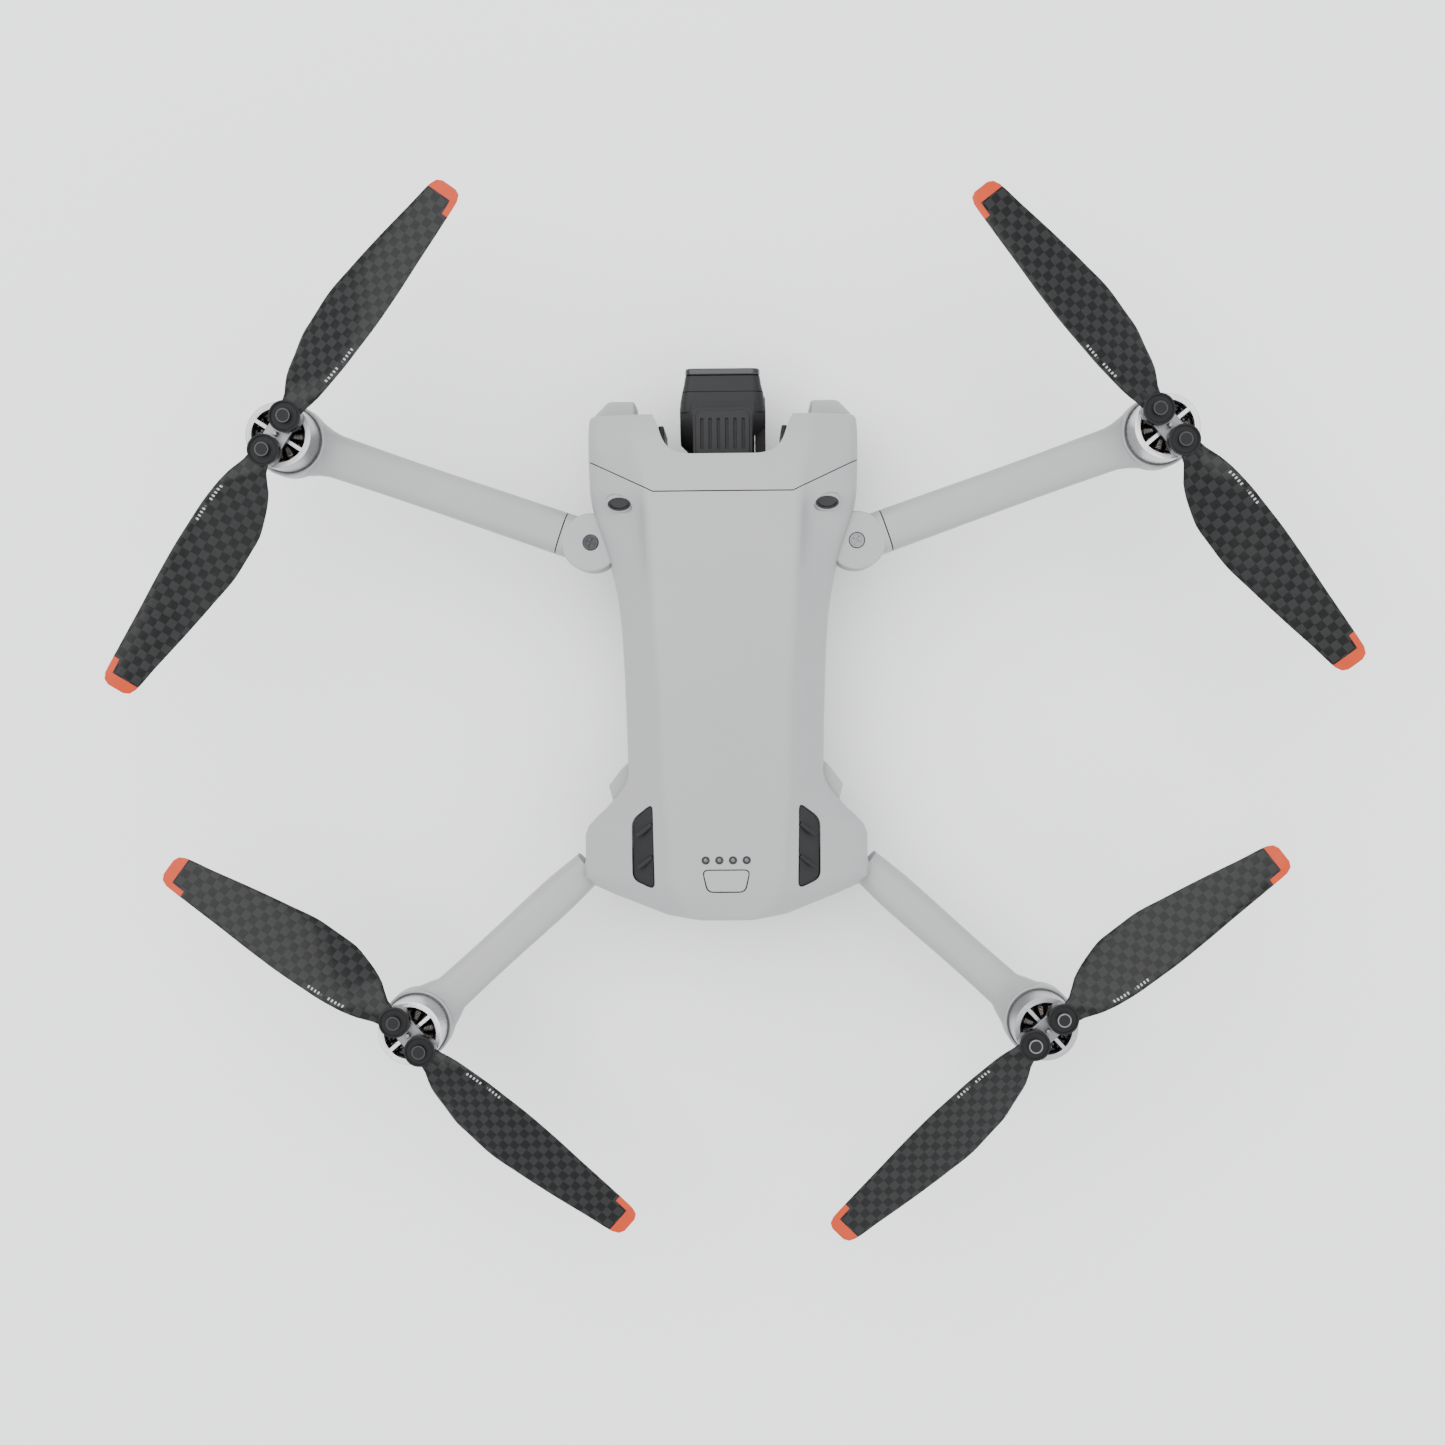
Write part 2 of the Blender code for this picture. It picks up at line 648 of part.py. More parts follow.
def pod_cut_mesh(length, rim_z):
    low = rim_z - POD_RECESS
    return finish_mesh(rod(POD_RADIUS - POD_LIP, (low, rim_z + 3), (length, 0), 24), "pod_cut")


def make_front_arm(side, sign, white, steel):
    x, y = FRONT_PIVOT
    turn = -FRONT_SWEEP if sign > 0 else 180 + FRONT_SWEEP
    axis = add_axis(f"front_arm_axis_{side}", (sign * x, y, 0), turn)
    reach = FRONT_LENGTH
    low, high = KNUCKLE_Z
    pod_low = FRONT_RIM_Z - POD_HEIGHT
    rings = [
        arm_ring(KNUCKLE_SEAM + GAP, 5.7, low + 1.4, high + 0.4),
        arm_ring(0.25 * reach, 5.6, low + 5.0, high + 2.2),
        arm_ring(0.6 * reach, 5.4, low + 11.0, high + 6.6),
        arm_ring(0.85 * reach, 5.6, pod_low, FRONT_RIM_Z - 1.0),
        arm_ring(reach, 6.4, pod_low + 0.8, FRONT_RIM_Z - 0.8),
    ]
    arm = add_part(finish_mesh(loft(rings), "arm"), f"front_arm_{side}", white, axis)
    fuse(arm, add_cutter(pod_mesh(reach, FRONT_RIM_Z), f"front_pod_{side}", axis))
    carve(arm, add_cutter(pod_cut_mesh(reach, FRONT_RIM_Z), f"front_pod_cut_{side}", axis))

    knuckle = add_part(
        finish_mesh(rod(KNUCKLE_RADIUS, KNUCKLE_Z, segments=24), "knuckle"),
        f"front_knuckle_{side}",
        white,
        axis,
    )
    neck = finish_mesh(
        loft([arm_ring(0.0, 5.8, low + 0.4, high - 0.2), arm_ring(KNUCKLE_SEAM, 5.8, low + 1.2, high)]),
        "neck",
    )
    fuse(knuckle, add_cutter(neck, f"front_neck_{side}", axis))
    bore = rod(FRONT_SCREW_RADIUS + GAP, (low - 1, high + 1), segments=16)
    seat = rod(FRONT_SCREW_HEAD + GAP, (high - FRONT_SCREW_HEAD_DEPTH - GAP, high + 1), segments=16)
    carve(
        knuckle,
        add_cutter(finish_mesh(bore, "bore"), f"knuckle_bore_{side}", axis),
        add_cutter(finish_mesh(seat, "seat"), f"knuckle_seat_{side}", axis),
    )
    centre = (sign * x, y)
    screw = rod(FRONT_SCREW_RADIUS, (LUG_Z[0] + 2.0, high - 0.6), centre, 16)
    screw = add_part(finish_mesh(screw, "screw"), f"front_hinge_screw_{side}", steel)
    head = rod(FRONT_SCREW_HEAD, (high - FRONT_SCREW_HEAD_DEPTH, high), centre, 16)
    fuse(screw, add_cutter(finish_mesh(head, "head"), f"front_screw_head_{side}"))


def make_rear_arm(side, sign, white, steel, dark):
    pivot = Vector((sign * REAR_PIVOT[0], *REAR_PIVOT[1:]))
    turn = REAR_SWEEP if sign > 0 else 180 - REAR_SWEEP
    axis = add_axis(f"rear_arm_axis_{side}", pivot, turn)
    local = math.radians(sign * (REAR_AXIS_ANGLE - REAR_SWEEP))
    direction = Vector((math.cos(local), math.sin(local), 0.0))
    rim = REAR_RIM_Z - REAR_PIVOT[2]
    reach = REAR_LENGTH
    rings = [
        arm_ring(3.5, 4.6, -5.6, 5.6),
        arm_ring(0.25 * reach, 5.2, -4.0, 7.0),
        arm_ring(0.6 * reach, 5.0, 0.4, 9.4),
        arm_ring(0.82 * reach, 5.2, rim - POD_HEIGHT, rim - 1.0),
        arm_ring(reach, 6.0, rim - POD_HEIGHT + 0.8, rim - 0.8),
    ]
    arm = add_part(finish_mesh(loft(rings), "arm"), f"rear_arm_{side}", white, axis)
    disc = rod_along(direction, REAR_DISC_RADIUS, REAR_DISC_T, (0, 0, 0), 24)
    bore = rod_along(
        direction, REAR_PIN_RADIUS + GAP, (REAR_DISC_T[0] - 1, REAR_PIN_T[1] + GAP), (0, 0, 0), 16
    )
    fuse(
        arm,
        add_cutter(finish_mesh(disc, "disc"), f"rear_disc_{side}", axis),
        add_cutter(pod_mesh(reach, rim), f"rear_pod_{side}", axis),
    )
    carve(
        arm,
        add_cutter(finish_mesh(bore, "bore"), f"rear_bore_{side}", axis),
        add_cutter(pod_cut_mesh(reach, rim), f"rear_pod_cut_{side}", axis),
    )
    world = rear_axis(sign)
    pin = rod_along(world, REAR_PIN_RADIUS, REAR_PIN_T, pivot, 16)
    add_part(finish_mesh(pin, "pin"), f"rear_hinge_pin_{side}", steel)
    t0, t1 = BRACKET_T
    bracket = box((t0, -BRACKET_HALF, BRACKET_Z[0]), (t1, BRACKET_HALF, BRACKET_Z[1]))
    bracket.transform(
        Matrix.Translation((pivot.x, pivot.y, 0))
        @ Matrix.Rotation(math.atan2(world.y, world.x), 4, "Z")
    )
    bracket = add_part(finish_mesh(bracket, "bracket"), f"rear_hinge_bracket_{side}", dark)
    hole = rod_along(world, REAR_PIN_RADIUS + GAP, (t0 - 2, t1 + 2), pivot, 16)
    carve(bracket, add_cutter(finish_mesh(hole, "hole"), f"bracket_hole_{side}"))


def stator_mesh():
    outline = []
    for i in range(TEETH):
        for share, radius in ((0.06, 3.4), (0.12, STATOR_RADIUS), (0.75, STATOR_RADIUS), (0.81, 3.4)):
            angle = 2 * math.pi * (i + share) / TEETH
            outline.append((radius * math.cos(angle), radius * math.sin(angle)))
    return finish_mesh(prism(outline, (GAP - POD_RECESS, STATOR_TOP)), "stator")


def bell_meshes():
    body = finish_mesh(rod(BELL_RADIUS, BELL_Z, segments=BELL_SEGMENTS), "rotor_bell")
    inner = rod(BELL_RADIUS - BELL_WALL, (-1.0, BELL_Z[1] - BELL_WEB), segments=BELL_SEGMENTS)
    inner = finish_mesh(inner, "inner")
    windows = bmesh.new()
    for i in range(SPOKES):
        centre = 2 * math.pi * (i + 0.5) / SPOKES
        spread = math.pi / SPOKES - 0.24
        arc = [centre - spread, centre - spread / 3, centre + spread / 3, centre + spread]
        outer = BELL_RADIUS - BELL_WALL
        outline = [(outer * math.cos(a), outer * math.sin(a)) for a in arc]
        outline += [(2.7 * math.cos(a), 2.7 * math.sin(a)) for a in (arc[3], arc[0])]
        window = prism(outline, (BELL_Z[1] - BELL_WEB - 1, BELL_Z[1] + 1))
        spare = bpy.data.meshes.new("window")
        window.to_mesh(spare)
        window.free()
        windows.from_mesh(spare)
        bpy.data.meshes.remove(spare)
    shaft = finish_mesh(rod(SHAFT_RADIUS, (0.5, BELL_Z[1] - 0.5), segments=12), "shaft")
    return body, inner, finish_mesh(windows, "windows"), shaft


def mount_meshes():
    low, high = MOUNT_Z
    plate = finish_mesh(rod(3.4, MOUNT_Z, segments=16), "prop_mount")
    top = PROP_PLANE + BLADE_ROOT_HEIGHT / 2 + GAP
    extras = [finish_mesh(rod(HUB_BOSS_RADIUS, (low + 0.2, high + 2.6), segments=8), "boss")]
    for end in (-1, 1):
        centre = (end * BLADE_PIVOT, 0)
        extras.append(finish_mesh(rod(BLADE_ROOT_RADIUS, MOUNT_Z, centre, 16), "pad"))
        extras.append(finish_mesh(rod(CLAMP_PIN_RADIUS, (low + 0.3, top + 0.5), centre, 8), "pin"))
        head = (top, top + CLAMP_HEAD_HEIGHT)
        extras.append(finish_mesh(rod(CLAMP_HEAD_RADIUS, head, centre, 12), "head"))
    return plate, extras


def blade_ring(station, hand):
    """A thin lens-shaped section. The leading edge is on the hand's side and stands higher."""
    s, lead, trail, pitch, thick = station
    angle = math.radians(pitch)
    points = []
    for share, lift in ((1, 0), (0.45, 0.5), (-0.3, 0.45), (-1, 0), (-0.3, -0.4), (0.45, -0.45)):
        across = share * (lead if share > 0 else trail)
        up = lift * thick
        y = across * math.cos(angle) - up * math.sin(angle)
        z = across * math.sin(angle) + up * math.cos(angle)
        points.append((s, hand * y, z))
    edge = 0.12 * thick
    lead_low = points[0]
    trail_low = points[3]
    return [
        (lead_low[0], lead_low[1], lead_low[2] + edge),
        points[1],
        points[2],
        (trail_low[0], trail_low[1], trail_low[2] + edge),
        (trail_low[0], trail_low[1], trail_low[2] - edge),
        points[4],
        points[5],
        (lead_low[0], lead_low[1], lead_low[2] - edge),
    ]


def blade_mesh(hand):
    return finish_mesh(loft([blade_ring(station, hand) for station in BLADE_STATIONS]), "blade")


def make_rotors(carbon, silver, copper, dark):
    bell, bell_inner, bell_windows, shaft = bell_meshes()
    stator = stator_mesh()
    plate, mount_extras = mount_meshes()
    blades = {True: blade_mesh(-1), False: blade_mesh(1)}
    root_height = BLADE_ROOT_HEIGHT / 2
    root = finish_mesh(rod(BLADE_ROOT_RADIUS, (-root_height, root_height), segments=16), "root")
    bore = finish_mesh(rod(CLAMP_PIN_RADIUS + GAP, (-4, 4), segments=12), "bore")
    stator_bore = finish_mesh(rod(SHAFT_RADIUS + GAP, (-5, 20), segments=12), "stator_bore")
    for name, arm, sign, clockwise, hub_angle, lag_a, lag_b in ROTORS:
        place = motor_place(arm, sign)
        axis = add_axis(f"motor_axis_{name}", place)
        coils = add_part(stator.copy(), f"stator_{name}", copper, axis)
        carve(coils, add_cutter(stator_bore, f"stator_bore_{name}", axis))
        can = add_part(bell.copy(), f"rotor_bell_{name}", silver, axis)
        carve(
            can,
            add_cutter(bell_inner, f"bell_inner_{name}", axis),
            add_cutter(bell_windows, f"bell_windows_{name}", axis),
        )
        fuse(can, add_cutter(shaft, f"bell_shaft_{name}", axis))
        mount = add_part(plate.copy(), f"prop_mount_{name}", dark, axis)
        mount.rotation_euler.z = math.radians(hub_angle)
        for i, extra in enumerate(mount_extras):
            piece = add_cutter(extra, f"mount_{name}_{i}", axis)
            piece.rotation_euler.z = math.radians(hub_angle)
            fuse(mount, piece)
        for letter, end, lag in (("a", 0.0, lag_a), ("b", 180.0, lag_b)):
            toward = math.radians(hub_angle + end)
            offset = Vector((math.cos(toward), math.sin(toward), 0)) * BLADE_PIVOT
            spot = Vector(place) + offset + Vector((0, 0, PROP_PLANE))
            hinge = add_axis(f"blade_axis_{name}_{letter}", spot, hub_angle + end + lag)
            blade = add_part(blades[clockwise].copy(), f"blade_{name}_{letter}", carbon, hinge)
            fuse(blade, add_cutter(root, f"blade_root_{name}_{letter}", hinge))
            carve(blade, add_cutter(bore, f"blade_bore_{name}_{letter}", hinge))


def motor_place(arm, sign):
    if arm == "front":
        angle = math.radians(-FRONT_SWEEP)
        x, y = FRONT_PIVOT
        reach, rim = FRONT_LENGTH, FRONT_RIM_Z
    else:
        angle = math.radians(REAR_SWEEP)
        x, y = REAR_PIVOT[:2]
        reach, rim = REAR_LENGTH, REAR_RIM_Z
    return (sign * (x + reach * math.cos(angle)), y + reach * math.sin(angle), rim)


def camera_ring(y, left, right, tall, cut):
    """A section across the camera, a box with its four corners cut."""
    return [
        (left + cut, y, -tall),
        (right - cut, y, -tall),
        (right, y, cut - tall),
        (right, y, tall - cut),
        (right - cut, y, tall),
        (left + cut, y, tall),
        (left, y, tall - cut),
        (left, y, cut - tall),
    ]


def make_gimbal(dark, glass, silver):
    z0, z1 = LINER_Z
    outer = NOTCH_HALF + LINER_WALL
    liner = box((-outer, EAR_FRONT_Y + 2 * WALL, z0), (outer, NOTCH_BACK_Y + LINER_WALL, z1))
    liner = add_part(finish_mesh(liner, "liner"), "gimbal_liner", dark)
    inner = box((-NOTCH_HALF, -FAR, z0 - 1), (NOTCH_HALF, NOTCH_BACK_Y, z1 + 1))
    carve(liner, add_cutter(finish_mesh(inner, "inner"), "liner_inner"))

    half = YAW_HOUSING_HALF
    front = YAW_HOUSING_FRONT_Y
    outline = mirrored([(half, NOTCH_BACK_Y - GAP), (half, front + 2.0), (half - 2.0, front)])
    housing = add_part(finish_mesh(prism(outline, YAW_HOUSING_Z), "housing"), "yaw_motor_housing", dark)
    for i in range(6):
        x = (i - 2.5) * 2.2
        rib = box((x - 0.4, front + 2.5, YAW_HOUSING_Z[1] - 0.6), (x + 0.4, -57.0, 60))
        carve(housing, add_cutter(finish_mesh(rib, "rib"), f"housing_groove_{i}"))

    yaw_axis = add_axis("gimbal_yaw_axis", (0, YAW_AXIS_Y, CAMERA_Z))
    low, high = YAW_PLATE_Z
    back_y = ROLL_MOTOR_Y[1] - YAW_AXIS_Y
    plate = box((-5.5, -3.5, low - CAMERA_Z), (5.5, back_y, high - CAMERA_Z))
    yaw_arm = add_part(finish_mesh(plate, "yaw_arm"), "gimbal_yaw_arm", dark, yaw_axis)
    drop = box((-5.5, back_y - 1.6, -5.5), (5.5, back_y, high - CAMERA_Z - 0.3))
    y0, y1 = (y - YAW_AXIS_Y for y in ROLL_MOTOR_Y)
    motor = rod_along((0, 1, 0), ROLL_MOTOR_RADIUS, (y0, y1 - 0.3), (0, 0, 0), 24)
    fuse(
        yaw_arm,
        add_cutter(finish_mesh(drop, "drop"), "yaw_drop", yaw_axis),
        add_cutter(finish_mesh(motor, "roll_motor"), "roll_motor", yaw_axis),
    )

    roll_axis = add_axis("gimbal_roll_axis", (0, CAMERA_Y, CAMERA_Z))
    x0, x1 = ROLL_ARM_X
    arm_low, arm_high = (z - CAMERA_Z for z in ROLL_ARM_Z)
    back0, back1 = (y - CAMERA_Y for y in ROLL_ARM_BACK_Y)
    side_bar = finish_mesh(box((-x1, 0.0, arm_low), (-x0, back1, arm_high)), "side_bar")
    roll_arm = add_part(side_bar, "gimbal_roll_arm", dark, roll_axis)
    back_bar = box((-x1 + 0.2, back0, arm_low), (6.0, back1, arm_high))
    knuckle = rod_along((1, 0, 0), 5.4, (-x1, -x0), (0, 0, 0), 24)
    shaft = rod_along(
        (0, 1, 0), 2.5, (back1 - 0.5, ROLL_MOTOR_Y[0] - GAP - CAMERA_Y), (0, 0, 0), 16
    )
    fuse(
        roll_arm,
        add_cutter(finish_mesh(back_bar, "back_bar"), "roll_back_bar", roll_axis),
        add_cutter(finish_mesh(knuckle, "knuckle"), "roll_knuckle", roll_axis),
        add_cutter(finish_mesh(shaft, "shaft"), "roll_shaft", roll_axis),
    )

    pitch_axis = add_axis("gimbal_pitch_axis", (0, CAMERA_Y, CAMERA_Z))
    edge = CAMERA_EDGE
    barrel_end = CAMERA_HALF - edge
    barrel = rod_along((1, 0, 0), CAMERA_BACK_RADIUS, (-CAMERA_ARM_X, barrel_end), (0, 0, 0), 32)
    camera = add_part(finish_mesh(barrel, "camera"), "camera_body", dark, pitch_axis)
    cheek = rod_along(
        (1, 0, 0),
        CAMERA_BACK_RADIUS,
        (barrel_end, CAMERA_HALF),
        (0, 0, 0),
        32,
        CAMERA_BACK_RADIUS - edge,
    )
    fuse(camera, add_cutter(finish_mesh(cheek, "cheek"), "camera_cheek", pitch_axis))
    front = CAMERA_FRONT_Y - CAMERA_Y
    h = CAMERA_FRONT_HEIGHT
    w = CAMERA_FRONT_HALF
    rings = [
        camera_ring(front, -w, w, h, 1.6),
        camera_ring(front + 4.5, -w - 0.3, w + 0.5, h + 0.4, 1.9),
        camera_ring(front + 5.8, -CAMERA_ARM_X, CAMERA_HALF - 0.4, h + 0.6, 2.2),
        camera_ring(0.0, -CAMERA_ARM_X + 0.1, CAMERA_HALF - 0.1, CAMERA_BACK_RADIUS - 0.3, edge),
    ]
    fuse(camera, add_cutter(finish_mesh(loft(rings), "snout"), "camera_snout", pitch_axis))
    well = rod_along((0, 1, 0), LENS_RADIUS + GAP, (front - 1, front + 2.0), (0, 0, 0), 24)
    carve(camera, add_cutter(finish_mesh(well, "well"), "lens_well", pitch_axis))
    lens = rod_along((0, 1, 0), LENS_RADIUS, (front - 0.4, front + 1.7), (0, 0, 0), 24)
    lens = add_part(finish_mesh(lens, "lens"), "camera_lens_barrel", silver, pitch_axis)
    bore = rod_along((0, 1, 0), LENS_RADIUS - 1.2, (front - 1, front + 0.9), (0, 0, 0), 24)
    carve(lens, add_cutter(finish_mesh(bore, "bore"), "lens_bore", pitch_axis))
    window = rod_along((0, 1, 0), LENS_RADIUS - 1.2 - GAP, (front - 0.1, front + 0.6), (0, 0, 0), 24)
    add_part(finish_mesh(window, "window"), "camera_lens_glass", glass, pitch_axis)


def make_electronics(board_green, aluminium, dark):
    y0, y1 = BOARD_Y
    board = box((-BOARD_HALF, y0, BOARD_Z[0]), (BOARD_HALF, y1, BOARD_Z[1]))
    add_part(finish_mesh(board, "board"), "main_board", board_green)
    y0, y1 = SINK_Y
    sink = box((-SINK_HALF, y0, SINK_Z[0]), (SINK_HALF, y1, SINK_Z[1]))
    sink = add_part(finish_mesh(sink, "sink"), "heat_sink", aluminium)
    pitch = (2 * SINK_HALF - 1.2) / (FIN_COUNT - 1)
    for i in range(FIN_COUNT):
        x = i * pitch - SINK_HALF + 0.6
        fin = box((x - 0.5, y0 + 0.2, SINK_Z[1] - 0.5), (x + 0.5, y1 - 0.2, FIN_TOP))
        fuse(sink, add_cutter(finish_mesh(fin, "fin"), f"heat_sink_fin_{i}"))
    fan = rod(FAN_RADIUS, FAN_Z, (0, FAN_Y), 24)
    fan = add_part(finish_mesh(fan, "fan"), "cooling_fan", dark)
    mouth = rod(FAN_RADIUS * 0.62, (FAN_Z[0] + 2.0, FAN_Z[1] + 1), (0, FAN_Y), 24)
    carve(fan, add_cutter(finish_mesh(mouth, "mouth"), "fan_mouth"))


clear_scene()
PARTS = make_collection(OBJECT_NAME)
CUTTERS = make_collection("cutters")
WHITE = make_material("pale_grey_plastic", (0.56, 0.56, 0.56), 0.45)
DARK = make_material("dark_grey_plastic", (0.03, 0.03, 0.033), 0.4)
GLASS = make_material("dark_window", (0.01, 0.01, 0.012), 0.08)
CARBON = make_material("carbon_fibre", (0.02, 0.02, 0.022), 0.3)
SILVER = make_material("bright_metal", (0.75, 0.75, 0.76), 0.25, 1.0)
STEEL = make_material("screw_steel", (0.2, 0.2, 0.21), 0.35, 1.0)
COPPER = make_material("motor_copper", (0.45, 0.2, 0.1), 0.4, 1.0)
BOARD = make_material("board_green", (0.02, 0.12, 0.06), 0.5)

UPPER, NOSE, LOWER = make_shells(WHITE)
make_vision_windows(UPPER, LOWER, GLASS)
make_vents(UPPER, DARK)
make_button_and_lights(UPPER, WHITE, GLASS)
make_battery(LOWER, WHITE, DARK)
for SIDE, SIGN in SIDES.items():
    make_front_arm(SIDE, SIGN, WHITE, STEEL)
    make_rear_arm(SIDE, SIGN, WHITE, STEEL, DARK)
make_rotors(CARBON, SILVER, COPPER, DARK)
make_gimbal(DARK, GLASS, SILVER)
make_electronics(BOARD, SILVER, DARK)
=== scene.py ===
"""Finished shells, arms, rotors, gimbal, finishes and studio of a folding camera quadcopter.

Sizes are in millimetres, and a piece becomes metres when it is finished.
The nose faces -Y, +Z is up and the drone's own left is +X.
"""

import contextlib
import json
import math

import bmesh
import bpy
from bpy.props import FloatProperty, FloatVectorProperty, PointerProperty
from mathutils import Matrix, Vector


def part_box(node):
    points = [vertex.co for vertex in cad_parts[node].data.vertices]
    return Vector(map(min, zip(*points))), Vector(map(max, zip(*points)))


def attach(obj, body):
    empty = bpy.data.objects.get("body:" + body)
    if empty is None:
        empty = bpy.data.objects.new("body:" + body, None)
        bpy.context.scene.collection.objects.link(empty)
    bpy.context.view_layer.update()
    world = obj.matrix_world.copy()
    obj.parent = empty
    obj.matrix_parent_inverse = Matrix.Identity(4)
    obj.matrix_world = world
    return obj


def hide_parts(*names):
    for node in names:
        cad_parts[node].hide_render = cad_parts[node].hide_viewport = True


bl_info = {
    "name": "Camera Quadcopter",
    "version": (1, 0, 0),
    "blender": (4, 5, 0),
    "location": "View3D > Sidebar > Quadcopter",
    "description": "Builds the finished pieces, finishes and studio of a folding quadcopter",
    "category": "Object",
}

MM = 0.001
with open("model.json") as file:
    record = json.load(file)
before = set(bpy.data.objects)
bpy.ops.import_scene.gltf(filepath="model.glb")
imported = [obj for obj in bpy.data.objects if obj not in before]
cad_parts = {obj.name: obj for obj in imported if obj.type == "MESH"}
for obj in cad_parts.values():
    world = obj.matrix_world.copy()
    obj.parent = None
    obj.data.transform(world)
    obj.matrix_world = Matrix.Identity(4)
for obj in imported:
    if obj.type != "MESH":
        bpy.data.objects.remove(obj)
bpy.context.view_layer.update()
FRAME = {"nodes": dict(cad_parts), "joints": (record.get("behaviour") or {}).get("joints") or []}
JOINTS = {joint["name"]: joint for joint in FRAME["joints"]}
SIDES = (("left", 1), ("right", -1))
ROTORS = ("front_left", "front_right", "rear_left", "rear_right")
CLOCKWISE = ("front_left", "rear_right")
FAR = 120.0
GAP = 0.3

# Body: distance along, half width, spine height, spine half width, valley, shoulder, belly.
STATIONS = (
    (-65.9, 34.9, 43.9, 21.0, 43.4, 38.6, 9.0),
    (-61.0, 35.2, 46.5, 20.6, 46.0, 40.5, 6.0),
    (-54.0, 35.2, 48.2, 20.2, 47.4, 41.0, 3.0),
    (-45.4, 34.9, 49.3, 20.0, 47.2, 41.5, 0.5),
    (-40.2, 34.0, 49.7, 19.8, 43.6, 38.4, 0.0),
    (-34.0, 32.0, 49.9, 19.5, 43.8, 38.0, 0.0),
    (-26.6, 29.7, 50.0, 19.0, 44.8, 38.0, 0.0),
    (-12.8, 27.4, 50.0, 18.5, 45.6, 37.4, 0.0),
    (4.7, 26.5, 49.6, 17.3, 46.0, 37.0, 0.0),
    (27.4, 26.0, 48.2, 16.3, 45.6, 36.0, 0.0),
    (34.5, 30.0, 47.6, 15.9, 45.0, 33.8, 0.0),
    (44.0, 38.2, 46.6, 15.1, 44.2, 32.8, 0.0),
    (55.5, 38.2, 44.6, 14.6, 42.8, 32.8, 0.0),
    (58.0, 34.5, 44.0, 13.6, 42.2, 33.4, 0.0),
    (61.8, 24.8, 42.6, 11.0, 41.4, 35.0, 1.5),
    (64.9, 16.3, 41.2, 8.0, 40.4, 36.6, 4.0),
    (66.2, 8.0, 40.0, 4.0, 39.6, 37.6, 7.0),
)
# Blade: distance from its screw, leading side, trailing side, pitch in degrees, thickness.
BLADE = (
    (2.6, 2.9, 2.9, 0.0, 2.0),
    (4.6, 3.2, 3.6, 2.0, 1.9),
    (8.5, 4.5, 6.5, 17.0, 1.7),
    (14.0, 5.7, 9.1, 26.0, 1.5),
    (21.0, 6.2, 10.8, 25.0, 1.3),
    (29.5, 6.2, 10.8, 21.0, 1.1),
    (40.0, 5.8, 9.4, 17.0, 1.0),
    (50.5, 5.1, 7.7, 14.0, 0.9),
    (61.0, 4.5, 5.8, 11.5, 0.8),
    (68.2, 4.0, 4.6, 10.4, 0.7),
    (69.8, 3.3, 3.8, 10.1, 0.6),
    (70.5, 1.9, 2.4, 10.0, 0.4),
)


# Selecting and shaping


def deselect():
    if bpy.context.mode != "OBJECT":
        bpy.ops.object.mode_set(mode="OBJECT")
    bpy.ops.object.select_all(action="DESELECT")


def choose(obj, *others):
    deselect()
    for each in (obj, *others):
        each.select_set(True)
    bpy.context.view_layer.objects.active = obj
    return obj


@contextlib.contextmanager
def editing(obj, kind="FACE"):
    """Edit mode on one object with nothing selected."""
    choose(obj)
    bpy.ops.object.mode_set(mode="EDIT")
    bpy.ops.mesh.select_mode(type=kind)
    bpy.ops.mesh.select_all(action="DESELECT")
    yield bmesh.from_edit_mesh(obj.data)
    bpy.ops.object.mode_set(mode="OBJECT")


def pick(obj, parts, test):
    """Selects the faces or edges that pass a test on their middle, in millimetres."""
    for part in parts:
        if hasattr(part, "calc_center_median"):
            middle = part.calc_center_median()
        else:
            middle = (part.verts[0].co + part.verts[1].co) / 2
        if test(obj.matrix_world @ middle, part):
            part.select_set(True)
    bmesh.update_edit_mesh(obj.data)


def settle(obj):
    """Puts the object's place, turn and scale into its mesh."""
    choose(obj)
    bpy.ops.object.transform_apply(location=True, rotation=True, scale=True)
    return obj


def rod(radius, low, high, at=(0, 0), sides=48, top=None):
    """An upright cylinder, or a cone where the top radius is given."""
    deselect()
    place = (at[0], at[1], (low + high) / 2)
    if top is None:
        bpy.ops.mesh.primitive_cylinder_add(
            vertices=sides, radius=radius, depth=high - low, location=place
        )
    else:
        bpy.ops.mesh.primitive_cone_add(
            vertices=sides, radius1=radius, radius2=top, depth=high - low, location=place
        )
    return settle(bpy.context.object)


def along(obj, direction, origin=(0, 0, 0)):
    """Turns a piece made along +Z to a direction and moves it to an origin."""
    turn = Vector(direction).to_track_quat("Z", "Y").to_matrix().to_4x4()
    obj.matrix_world = Matrix.Translation(origin) @ turn
    return settle(obj)


def turned(obj, degrees, at=(0, 0, 0)):
    obj.matrix_world = Matrix.Translation(at) @ Matrix.Rotation(math.radians(degrees), 4, "Z")
    return settle(obj)


def block(low, high):
    deselect()
    middle = [(a + b) / 2 for a, b in zip(low, high)]
    size = [b - a for a, b in zip(low, high)]
    bpy.ops.mesh.primitive_cube_add(size=1, location=middle, scale=size)
    return settle(bpy.context.object)


